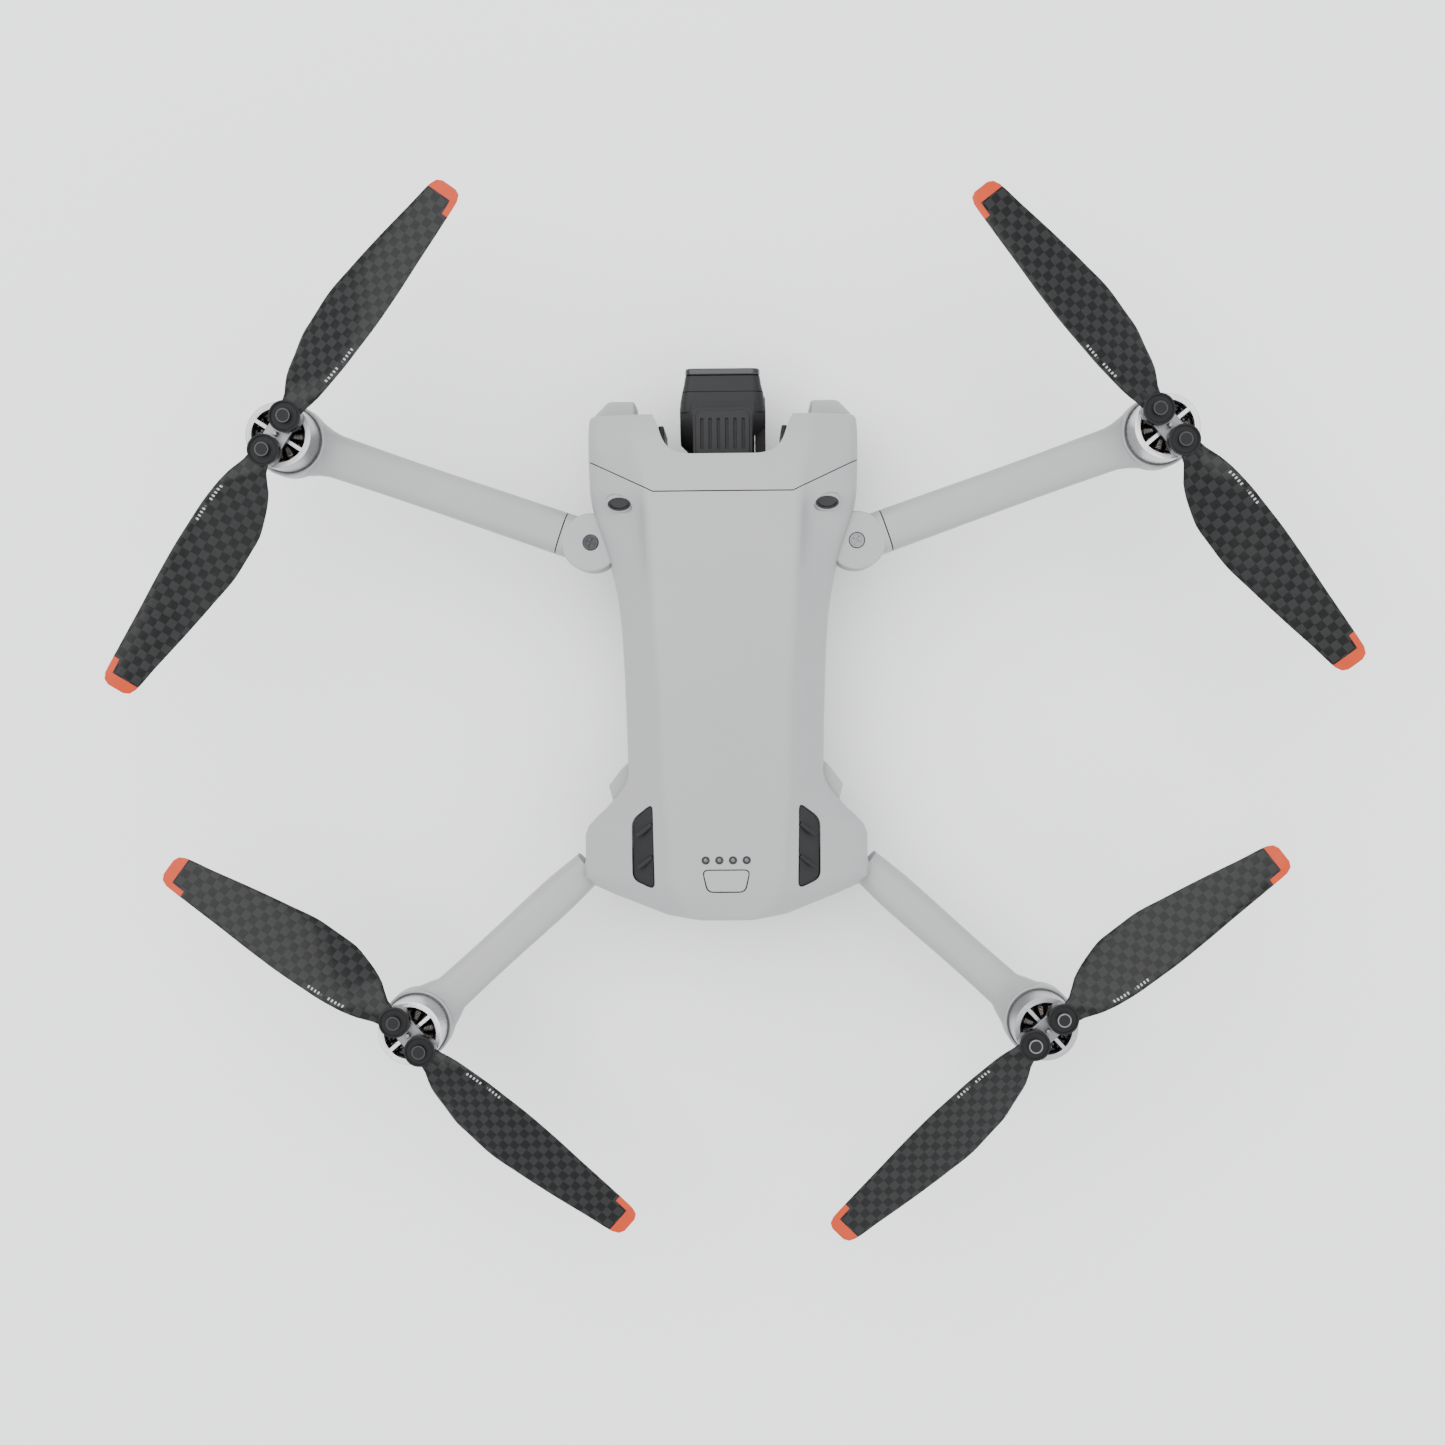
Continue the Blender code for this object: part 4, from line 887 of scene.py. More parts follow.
class MESH_OT_craft_upper(bpy.types.Operator):
    """Builds the upper shell and the nose cover with their openings"""

    bl_idname = "mesh.craft_upper"
    bl_label = "Upper shell and nose"

    def execute(self, context):
        sizes = context.scene.craft_body
        form = body_form()
        hollow = body_form(SHELL_WALL)
        below = block((-FAR, -FAR, -FAR), (FAR, FAR, sizes.belt))
        upper = cut(copied(form), copied(hollow), below)
        nose = crop(copied(upper), seam_slab(0.0, sizes.seam, FAR))
        cut(upper, seam_slab(0.0, sizes.seam + GAP, FAR))
        cut(nose, notch_slab(), bay(0))
        for side, sign, spot in window_spots():
            pocket = oval(sizes.window + 0.5, WINDOW_TALL + 0.5, -1.2, 6.0)
            cut(upper, along(pocket, WINDOW_TILT, spot), knuckle_recess(sign))
            cut(upper, slab(vent_outline(side, sign, 0.3), TOP_CUT, FAR))
        for x, y in light_spots():
            cut(upper, rod(sizes.dot + 0.12, TOP_CUT, FAR, (x, y), 24))
        cut(upper, slab(button_outline(0.28), TOP_CUT, FAR))
        shell = finish_for("shell")
        bevel(upper, SEAM_EDGE)
        bevel(nose, SEAM_EDGE)
        finished(upper, "upper_shell_finished", "airframe", shell, ["upper_shell"])
        finished(nose, "nose_cover_finished", "airframe", shell, ["nose_cover"])
        self.set_into(form, sizes)
        bpy.data.objects.remove(form)
        bpy.data.objects.remove(hollow)
        return {"FINISHED"}

    def set_into(self, form, sizes):
        """Vents, windows, lights and the button, which follow the form."""
        for side, sign in SIDES:
            low, high = node_box(f"vent_{side}")
            lines = [(1, low.y + i * (high.y - low.y) / 8) for i in range(1, 8)]
            lines.append((0, (low.x + high.x) / 2))
            vent = laid_on(form, vent_outline(side, sign, 0.0), -0.55, 2.0, lines)
            for start in (5.4, 13.9):
                x = sign * min(abs(low.x), abs(high.x))
                ridge = rod(0.62, 0.0, 5.0, sides=16)
                place = (x, low.y + start, height_on(form, x, low.y + start) - 0.75)
                fuse(vent, along(ridge, (sign * 0.78, 0.62, -0.16), place))
            bevel(vent, 0.12)
            finished(
                vent, f"vent_{side}_finished", "airframe", finish_for("dark"),
                [f"vent_{side}"],
            )
        for side, sign, spot in window_spots():
            rim = oval(sizes.window + 0.45, WINDOW_TALL + 0.45, -1.1, 0.3)
            cut(rim, oval(sizes.window + 0.05, WINDOW_TALL + 0.05, -3.0, 3.0))
            along(bevel(rim, 0.12, 3), WINDOW_TILT, spot)
            finished(rim, f"rear_window_rim_{side}", "airframe", finish_for("shell"))
            pane = oval(sizes.window, WINDOW_TALL, -1.1, 0.05)
            with editing(pane) as mesh:
                pick(pane, mesh.faces, lambda c, f: f.normal.z > 0.9)
                bpy.ops.mesh.inset(thickness=0.45, depth=0)
                bpy.ops.mesh.inset(thickness=0.12, depth=-0.3)
                bpy.ops.mesh.inset(thickness=0.6, depth=0.15)
            along(pane, WINDOW_TILT, spot)
            finished(
                pane, f"rear_window_{side}_finished", "airframe", finish_for("trim"),
                [f"rear_vision_window_{side}"],
            )
        rings, lenses = [], []
        for x, y in light_spots():
            z = height_on(form, x, y)
            ring = rod(sizes.dot, z - 2.5, z - 0.12, (x, y), 32)
            with editing(ring) as mesh:
                pick(ring, mesh.faces, lambda c, f: f.normal.z > 0.9)
                bpy.ops.mesh.inset(thickness=0.30, depth=0)
                bpy.ops.mesh.inset(thickness=0.02, depth=-0.35)
            rings.append(ring)
            lens = rod(0.60, z - 0.9, z - 0.16, (x, y), 32)
            lenses.append(bevel(lens, 0.18, 3))
        for pieces, name, finish in (
            (rings, "light_bezels", "trim"),
            (lenses, "light_lenses", "lamp"),
        ):
            choose(pieces[0], *pieces[1:])
            bpy.ops.object.join()
            replaced = ["status_light_guide"] if name == "light_lenses" else []
            finished(
                pieces[0], name, "airframe", finish_for(finish), replaced
            )
        button = bevel(laid_on(form, button_outline(0.0), 0.12, 3.4), 0.35, 3)
        finished(
            button, "power_button_finished", "power_button", finish_for("shell"),
            ["power_button"],
        )


class MESH_OT_craft_lower(bpy.types.Operator):
    """Builds the lower shell, the forward vision housings and the battery"""

    bl_idname = "mesh.craft_lower"
    bl_label = "Lower shell and battery"

    def execute(self, context):
        sizes = context.scene.craft_body
        form = body_form()
        hollow = body_form(SHELL_WALL)
        cap_low, cap_high = node_box("battery_pack")
        cap_low = Vector((cap_low.x, CAP_SEAM, cap_low.z))
        pack = crop(copied(form), block(cap_low, (cap_high.x, FAR, cap_high.z)))
        fuse(pack, bevel(block(*BATTERY_CORE), 1.2, 3))
        lower = cut(form, hollow, block((-FAR, -FAR, sizes.belt - GAP), (FAR, FAR, FAR)))
        cut(lower, notch_slab(), bay(-5))
        middle = (cap_low.z + cap_high.z) / 2
        wide, start, tall = FINGER_RECESS
        mouth = (cap_low.x - GAP, CAP_SEAM - GAP, cap_low.z - GAP)
        cut(
            lower,
            block(mouth, (cap_high.x + GAP, FAR, sizes.belt + 1)),
            block((-wide, start, middle - tall), (wide, FAR, middle + tall)),
        )
        pivot = joint_place("front_arm_left_fold")
        rear = joint_place("rear_arm_left_fold")
        for side, sign in SIDES:
            lug = bevel(rod(6.0, 14.0, 21.7, (sign * pivot.x, pivot.y), 48), 0.8, 3)
            house = flat_rounded([(sign * x, y) for x, y in HOUSE], 2.4)
            fuse(lower, lug, bevel(slab(house, 13.0, 29.6), 1.8, 3), self.tab(sign))
            bore = rod(HINGE_BORE, 15.5, 35.0, (sign * pivot.x, pivot.y), 32)
            cut(lower, knuckle_recess(sign), bore)
            relief = rod(8.1, -6.3, 7.7, sides=64, top=27.0)
            cut(lower, along(relief, rear_hinge_way(sign), (sign * rear.x, rear.y, rear.z)))
            self.latch(pack, side, sign)
            self.front_window(lower, side, sign)
        self.belly(lower)
        low, high = node_box("port_block")
        port = ((-FAR, low.y - GAP, low.z - GAP), (-20, high.y + GAP, high.z + GAP))
        cut(lower, block(*port))
        shell = finish_for("shell")
        bevel(lower, SEAM_EDGE)
        bevel(pack, SEAM_EDGE)
        finished(lower, "lower_shell_finished", "airframe", shell, ["lower_shell"])
        finished(pack, "battery_finished", "battery", shell, ["battery_pack"])
        return {"FINISHED"}

    def tab(self, sign):
        """One forward vision housing, whose outer corner is slanted."""
        outline = flat_rounded([(sign * x, y) for x, y in TAB], 1.1)
        return bevel(slab(outline, 12.0, 29.0), 0.9, 3)

    def latch(self, pack, side, sign):
        """One latch with its finger grooves, and the pocket for it in the battery's cap."""
        low, high = node_box(f"battery_latch_{side}")
        reach = (low - Vector((0, GAP, GAP)), high + Vector((0, GAP, GAP)))
        reach[0].x, reach[1].x = sorted((sign * 17.8, sign * 22.0))
        cut(pack, block(*reach))
        latch = bevel(block(low, high), 0.3, 3)
        for i in range(4):
            y = low.y + (i + 0.8) * (high.y - low.y) / 4.6
            groove = rod(0.22, low.z + 0.8, high.z - 0.8, (sign * 21.0, y), 12)
            cut(latch, groove)
        finished(
            latch, f"battery_latch_{side}_finished", f"latch_{side}", finish_for("dark"),
            [f"battery_latch_{side}"],
        )

    def front_window(self, lower, side, sign):
        low, high = node_box(f"front_vision_window_{side}")
        centre = (low + high) / 2
        radius = (high.z - low.z) / 2
        pocket = rod(radius + GAP, 0.0, 6.0, sides=64)
        cut(lower, along(pocket, (0, -1, 0), (centre.x, low.y + 2.0, centre.z)))
        pane = rod(radius, -1.7, 0.0, sides=64)
        with editing(pane) as mesh:
            pick(pane, mesh.faces, lambda c, f: f.normal.z > 0.9)
            bpy.ops.mesh.inset(thickness=0.5, depth=0)
            bpy.ops.mesh.inset(thickness=0.15, depth=-0.5)
            bpy.ops.mesh.inset(thickness=0.9, depth=-0.1)
            bpy.ops.mesh.inset(thickness=0.5, depth=0.35)
        bevel(pane, 0.12)
        along(pane, (0, -1, 0), (centre.x, low.y, centre.z))
        finished(
            pane, f"front_window_{side}_finished", "airframe", finish_for("trim"),
            [f"front_vision_window_{side}"],
        )

    def belly(self, lower):
        """Cooling slots, the sensor window, and four round screw recesses under the body."""
        low, high = node_box("belly_vision_window")
        window = [(low.x - GAP, low.y - GAP), (high.x + GAP, low.y - GAP)]
        window += [(high.x + GAP, high.y + GAP), (low.x - GAP, high.y + GAP)]
        cut(lower, slab(flat_rounded(window, 2.6), -1.0, 4.0))
        for i in range(SLOT_COUNT):
            y = SLOT_START + i * SLOT_PITCH
            slot = block((-SLOT_HALF, y, -1.0), (SLOT_HALF, y + SLOT_WIDTH, 4.0))
            cut(lower, bevel(slot, 0.5, 3))
        across, places = BELLY_SCREWS
        for sign in (-1, 1):
            for y in places:
                cut(lower, rod(2.2, -1.0, 0.8, (sign * across, y), 32))
        pane = bevel(block((low.x, low.y, low.z), (high.x, high.y, high.z)), 0.3, 2)
        for x in (-6.5, 6.5):
            cut(pane, rod(2.0, -1.0, low.z + 0.25, (x, (low.y + high.y) / 2), 48))
        finished(
            pane, "belly_window_finished", "airframe", finish_for("trim"),
            ["belly_vision_window"],
        )


# Arms


RIM_DEPTH = 8.0
POD_RADIUS = 9.3
POD_RECESS = 1.5
ARM_SQUARENESS = 3.2
# Widening of an arm into its pod: how far short of the motor, and the half width there.
FLARE = ((9.5, 6.1), (6.5, 7.2), (4.0, 8.3), (1.5, 9.1))


def heading(start, end):
    """Flat direction, angle in degrees and distance from one place to another."""
    way = (end - start).xy
    return Vector((*way.normalized(), 0)), math.degrees(math.atan2(way.y, way.x)), way.length


def ringed(piece, count):
    """The piece and its copies, evenly round the Z axis, as one object."""
    copies = [copied(piece) for _ in range(count - 1)]
    for i, twin in enumerate(copies):
        turned(twin, 360 * (i + 1) / count)
    choose(piece, *copies)
    bpy.ops.object.join()
    return piece


def cross_head(radius, low, high, depth=0.7):
    """A round screw head with a dished edge and a cross recess, on the Z axis."""
    head = rod(radius, low, high, sides=48)
    cut(head, rod(0.72 * radius, high - 0.12, high + 1, sides=48))
    bevel(head, 0.12, 3)
    for turn in (45, 135):
        slot = block((-0.62 * radius, -0.17, high - depth), (0.62 * radius, 0.17, high + 1))
        cut(head, turned(slot, turn))
    return note(head, "turn", lambda p: math.hypot(p.x, p.y))


def arm_loft(rows, reach):
    """An arm along +X, from its hinge through rows of place, half width, low and high to its pod."""
    rings = []
    flare = [(reach - short, half) for short, half in FLARE]
    for s, half, low, high in curve_through(rows, 2.5):
        if s < flare[0][0] - 1:
            rings.append((s, half, low, high))
    _, _, low, high = rows[-2]
    for s, half in flare:
        t = (s - flare[0][0]) / 8.0
        rings.append((s, half, low + 0.4 * t, high + 0.5 * t - 0.1))
    across, up = Vector((0, 1, 0)), Vector((0, 0, 1))
    return loft([
        oval_ring(Vector((s, 0, 0)), across, up, half, low, high, ARM_SQUARENESS)
        for s, half, low, high in rings
    ])


def pod_onto(arm, reach, rim):
    pod = bevel(rod(POD_RADIUS, rim - RIM_DEPTH, rim, (reach, 0), 96), 0.45, 3)
    recess = rod(POD_RADIUS - 0.6, rim - POD_RECESS, rim + 3, (reach, 0), 96)
    return bevel(cut(fuse(arm, pod), recess), 0.18)


class MESH_OT_craft_arms(bpy.types.Operator):
    """Builds the front and rear arms with their pods, knuckles and hinge screws"""

    bl_idname = "mesh.craft_arms"
    bl_label = "Arms and hinges"

    def execute(self, context):
        for side, sign in SIDES:
            self.front(side, sign)
            self.rear(side, sign)
            painted(f"rear_hinge_bracket_{side}", finish_for("dark"), 0.4)
            painted(f"rear_hinge_pin_{side}", finish_for("blacked"), 0.2)
        return {"FINISHED"}

    def front(self, side, sign):
        pivot = joint_place(f"front_arm_{side}_fold")
        motor = joint_place(f"motor_front_{side}")
        _, angle, reach = heading(pivot, motor)
        low, high = (corner.z for corner in node_box(f"front_knuckle_{side}"))
        rim = node_box(f"front_arm_{side}")[1].z
        bottom = rim - RIM_DEPTH
        rows = [
            (8.5, 5.7, low + 1.4, high + 0.4),
            (0.25 * reach, 5.6, low + 5.0, high + 2.2),
            (0.6 * reach, 5.4, low + 11.0, high + 6.6),
            (0.85 * reach, 5.6, bottom, rim - 1.0),
            (reach, 6.4, bottom + 0.8, rim - 0.8),
        ]
        arm = pod_onto(arm_loft(rows, reach), reach, rim)
        turned(arm, angle, (pivot.x, pivot.y, 0))
        body, shell = f"front_arm_{side}", finish_for("shell")
        finished(arm, f"{body}_finished", body, shell, [body])
        knuckle = bevel(rod(KNUCKLE_RADIUS, low, high, sides=96), 0.5, 3)
        across, up = Vector((0, 1, 0)), Vector((0, 0, 1))
        neck = loft([
            oval_ring(Vector((0, 0, 0)), across, up, 5.7, low + 0.6, high - 0.2, ARM_SQUARENESS),
            oval_ring(Vector((8.2, 0, 0)), across, up, 5.72, low + 1.3, high, ARM_SQUARENESS),
        ])
        fuse(knuckle, neck)
        cut(knuckle, rod(2.2, high - 1.5, high + 1), rod(HINGE_BORE, low - 1, high))
        bevel(knuckle, 0.2)
        turned(knuckle, angle, (pivot.x, pivot.y, 0))
        finished(
            knuckle, f"front_knuckle_{side}_finished", body, shell,
            [f"front_knuckle_{side}"],
        )
        screw = fuse(cross_head(1.9, high - 1.2, high - 0.15), rod(1.3, 16.0, high - 1.0))
        turned(screw, 20, (pivot.x, pivot.y, 0))
        finish = finish_for("blacked" if sign > 0 else "steel")
        finished(
            screw, f"front_screw_{side}_finished", "airframe", finish,
            [f"front_hinge_screw_{side}"],
        )

    def rear(self, side, sign):
        pivot = joint_place(f"rear_arm_{side}_fold")
        motor = joint_place(f"motor_rear_{side}")
        _, angle, reach = heading(pivot, motor)
        rim = node_box(f"rear_arm_{side}")[1].z - pivot.z
        bottom = rim - RIM_DEPTH
        rows = [
            (3.5, 4.6, -5.6, 5.6),
            (0.25 * reach, 5.2, -4.0, 7.0),
            (0.6 * reach, 5.0, 0.4, 9.4),
            (0.82 * reach, 5.2, bottom, rim - 1.0),
            (reach, 6.0, bottom + 0.8, rim - 0.8),
        ]
        arm = pod_onto(arm_loft(rows, reach), reach, rim)
        local = Matrix.Rotation(-math.radians(angle), 3, "Z") @ rear_hinge_way(sign)
        fuse(arm, along(bevel(rod(7.5, -6.0, 3.0, sides=96), 0.6, 3), local))
        cut(arm, along(rod(1.9, -7.0, 1.7, sides=48), local))
        turned(arm, angle, pivot)
        finished(
            arm, f"rear_arm_{side}_finished", f"rear_arm_{side}", finish_for("shell"),
            [f"rear_arm_{side}"],
        )


# Motors and blades


TEETH = 12
PIN_REACH = 4.95
PAD_RADIUS = 3.9
PAD_SWEEP = 128
DISC_BORE = 1.45
BLADE_HEIGHT = 15.3
SCREW_HEIGHTS = (17.15, 18.2)
DISC_RINGS = ((0.35, 0), (0.1, -0.2), (0.45, 0), (0.1, 0.2), (0.4, 0), (0.1, -0.25))


def from_axis(point):
    return math.hypot(point.x, point.y)


def rotor_place(rotor):
    """Motor place, pod rim height and the angle of the line through both blade screws."""
    motor = joint_place(f"motor_{rotor}")
    rim = node_box(f"rotor_bell_{rotor}")[0].z - 0.3
    _, angle, _ = heading(motor, joint_place(f"blade_{rotor}_a_fold"))
    return motor, rim, angle


class CraftRotor(bpy.types.PropertyGroup):
    """Sizes of one motor and its blades, in millimetres."""

    bell: FloatProperty(name="Bell", description="Radius of the bell", min=0, default=8.3)
    wall: FloatProperty(name="Wall", description="Thickness of its wall", min=0, default=1.0)
    disc: FloatProperty(name="Disc", description="Radius of a clamp disc", min=0, default=3.75)
    screw: FloatProperty(name="Screw", description="Radius of a blade screw", min=0, default=1.8)


class MESH_OT_craft_motors(bpy.types.Operator):
    """Builds the rotor bells, the wound stators and the bow-tie blade mounts"""

    bl_idname = "mesh.craft_motors"
    bl_label = "Motors"

    def execute(self, context):
        sizes = context.scene.craft_rotor
        pieces = {
            "bell": self.bell(sizes),
            "core": self.core(sizes),
            "coil": self.coils(),
            "mount": self.mount(),
        }
        for rotor in ROTORS:
            motor, rim, angle = rotor_place(rotor)
            end, side = rotor.split("_")
            arm, spin = f"{end}_arm_{side}", f"rotor_{rotor}"
            # Two bells take the paler aluminium as a painted highlight and two the darker as a
            # painted shade; the CLOCKWISE list only picks the pairs.
            bright = finish_for("shaded" if rotor in CLOCKWISE else "bright")
            for name, body, finish, slot, replaced in (
                ("bell", spin, bright, "bright_metal", [f"rotor_bell_{rotor}"]),
                ("core", arm, finish_for("blacked"), "motor_copper", []),
                ("coil", arm, finish_for("copper"), "motor_copper", [f"stator_{rotor}"]),
                ("mount", spin, finish_for("steel"), "bright_metal", [f"prop_mount_{rotor}"]),
            ):
                twin = turned(copied(pieces[name]), angle, (motor.x, motor.y, rim))
                finished(twin, f"motor_{name}_{rotor}", body, finish, replaced)
            for end in ("a", "b"):
                place = joint_place(f"blade_{rotor}_{end}_fold")
                head = cross_head(sizes.screw, *(rim + height for height in SCREW_HEIGHTS))
                turned(head, angle + 15, (place.x, place.y, 0))
                finish = finish_for("steel" if rotor == "rear_right" else "blacked")
                finished(head, f"blade_screw_{rotor}_{end}", spin, finish)
        for piece in pieces.values():
            bpy.data.objects.remove(piece)
        return {"FINISHED"}

    def bell(self, sizes):
        bell = bevel(rod(sizes.bell, 0.3, 11.5, sides=128), 0.3, 3)
        cut(bell, rod(sizes.bell - sizes.wall, -1.0, 9.6, sides=128))
        reach = sizes.bell - 1.5
        windows = rod(reach, 8.0, 13.0, sides=96)
        cut(windows, rod(2.0, 7.0, 14.0, sides=64))
        for turn in (0, 90):
            spoke = block((-FAR, -0.5, 7.0), (FAR, 0.5, 14.0))
            cut(windows, turned(spoke, turn))
        cut(bell, windows)
        bevel(bell, 0.14)
        fuse(bell, rod(1.0, 0.5, 11.0, sides=32))
        return note(bell, "turn", from_axis)

    def core(self, sizes):
        top = sizes.bell - sizes.wall - 0.4
        core = rod(2.5, -1.2, 9.0, sides=48)
        cut(core, rod(1.3, -2.0, 10.0, sides=32))
        base = rod(top, -1.2, -0.1, sides=96)
        cut(base, rod(2.4, -2.0, 10.0, sides=48))
        tooth = block((2.3, -0.45, 0.9), (6.2, 0.45, 8.4))
        fuse(tooth, bevel(block((5.9, -1.35, 0.9), (top - 0.1, 1.35, 8.4)), 0.25, 2))
        choose(core, base, ringed(tooth, TEETH))
        bpy.ops.object.join()
        return note(core, "turn", from_axis)

    def coils(self):
        coil = block((3.1, -1.0, 0.0), (5.75, 1.0, 9.2))
        with editing(coil) as mesh:
            pick(coil, mesh.faces, lambda c, f: f.normal.x < -0.9)
            bpy.ops.transform.resize(value=(1, 0.62, 0.94), center_override=(3.1, 0, 4.6))
        return note(ringed(bevel(coil, 0.42, 4), TEETH), "turn", from_axis)

    def mount(self):
        mount = bevel(slab(self.bow_tie(), 11.8, 13.5), 0.3, 3)
        boss = bevel(rod(0.65, 12.0, 16.1, sides=32), 0.15, 2)
        fuse(mount, boss)
        for end in (-1, 1):
            fuse(mount, rod(1.15, 12.1, 17.3, (end * PIN_REACH, 0), 32))
        return note(mount, "turn", lambda p: math.hypot(abs(p.x) - PIN_REACH, p.y))

    def bow_tie(self):
        """Two round pads joined by a narrower waist."""
        points = []
        for end in (1, -1):
            for k in range(25):
                angle = math.radians(-PAD_SWEEP + 2 * PAD_SWEEP * k / 24)
                x = PIN_REACH + PAD_RADIUS * math.cos(angle)
                points.append((end * x, end * PAD_RADIUS * math.sin(angle)))
        return points


def blade_section(row, hand):
    """A cambered section at one distance: thin, its leading side higher, closed and smooth."""
    s, lead, trail, pitch, thick = row
    angle = math.radians(pitch)
    points = []
    for k in range(28):
        turn = 2 * math.pi * k / 28
        c, sn = math.cos(turn), math.sin(turn)
        across = c * (lead if c > 0 else trail)
        lift = math.copysign(abs(sn) ** 0.9, sn) * thick * (0.46 if s < 60 else 0.42)
        lift += 0.05 * thick * (1 - c * c)
        y = across * math.cos(angle) - lift * math.sin(angle)
        z = across * math.sin(angle) + lift * math.cos(angle)
        points.append((s, hand * y, z))
    return points


class MESH_OT_craft_blades(bpy.types.Operator):
    """Builds the eight woven carbon blades with their clamp discs"""

    bl_idname = "mesh.craft_blades"
    bl_label = "Blades"

    def execute(self, context):
        sizes = context.scene.craft_rotor
        models = {hand: self.blade(hand) for hand in (1, -1)}
        disc = self.disc(sizes)
        for rotor in ROTORS:
            hand = -1 if rotor in CLOCKWISE else 1
            rim = rotor_place(rotor)[1]
            for end in ("a", "b"):
                name = f"blade_{rotor}_{end}"
                place = joint_place(f"{name}_fold")
                spot = (place.x, place.y, rim + BLADE_HEIGHT)
                angle = self.lie(name, place, hand)
                blade = turned(copied(models[hand]), angle, spot)
                weave = finish_for("carbon")
                finished(blade, f"{name}_finished", name, weave, [name], 50)
                clamp = turned(copied(disc), angle, spot)
                finished(clamp, f"clamp_{rotor}_{end}", name, finish_for("rubber"))
        for piece in (*models.values(), disc):
            bpy.data.objects.remove(piece)
        return {"FINISHED"}

    def lie(self, name, place, hand):
        """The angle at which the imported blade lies, from the end of it that is farthest away."""
        node = FRAME["nodes"][name]
        points = [(node.matrix_world @ v.co) / MM - place for v in node.data.vertices]
        tips = [p.xy for p in points if p.xy.length > BLADE[-1][0] - 0.2]
        middle = sum(tips, Vector((0, 0))) / len(tips)
        offset = (BLADE[-1][1] - BLADE[-1][2]) / 2 * hand
        return math.degrees(math.atan2(middle.y, middle.x) - math.atan2(offset, BLADE[-1][0]))

    def blade(self, hand):
        rings = [blade_section(row, hand) for row in curve_through(BLADE, 1.6)]
        blade = loft(rings)
        root = bevel(rod(3.95, -1.5, 0.9, sides=64), 0.2, 2)
        cut(fuse(blade, root), rod(DISC_BORE, -3, 3, sides=32))
        note(blade, "run", lambda p: p.x)
        note(blade, "across", lambda p: hand * p.y)
        return note(blade, "edge", lambda p: self.from_edge(p, hand))

    def from_edge(self, point, hand):
        """How far a point lies behind the leading side."""
        rows = [row for row in BLADE if row[0] <= max(point.x, BLADE[0][0])]
        row = rows[-1]
        later = BLADE[min(len(rows), len(BLADE) - 1)]
        span = later[0] - row[0]
        t = (point.x - row[0]) / span if span else 0.0
        lead = row[1] + (later[1] - row[1]) * max(0.0, min(1.0, t))
        return lead - hand * point.y

    def disc(self, sizes):
        """The clamp disc on a blade's root, with its rings."""
        disc = bevel(rod(sizes.disc, 0.6, 1.5, sides=96), 0.15, 2)
        with editing(disc) as mesh:
            pick(disc, mesh.faces, lambda c, f: f.normal.z > 0.9)
            for thickness, depth in DISC_RINGS:
                bpy.ops.mesh.inset(thickness=thickness, depth=depth)
        return cut(disc, rod(DISC_BORE, -1, 3, sides=32))


# Gimbal and camera


LENS_BORE = 5.5
# Camera: how far behind its front, half width, half height and corner of each section.
CAMERA_NOSE = ((2.0, 9.85, 9.0, 1.6), (4.2, 10.2, 9.3, 1.9), (6.1, 10.7, 9.5, 2.2))
RIB_COUNT = 6
RIB_PITCH = 2.15
RIB_HALF = 0.42


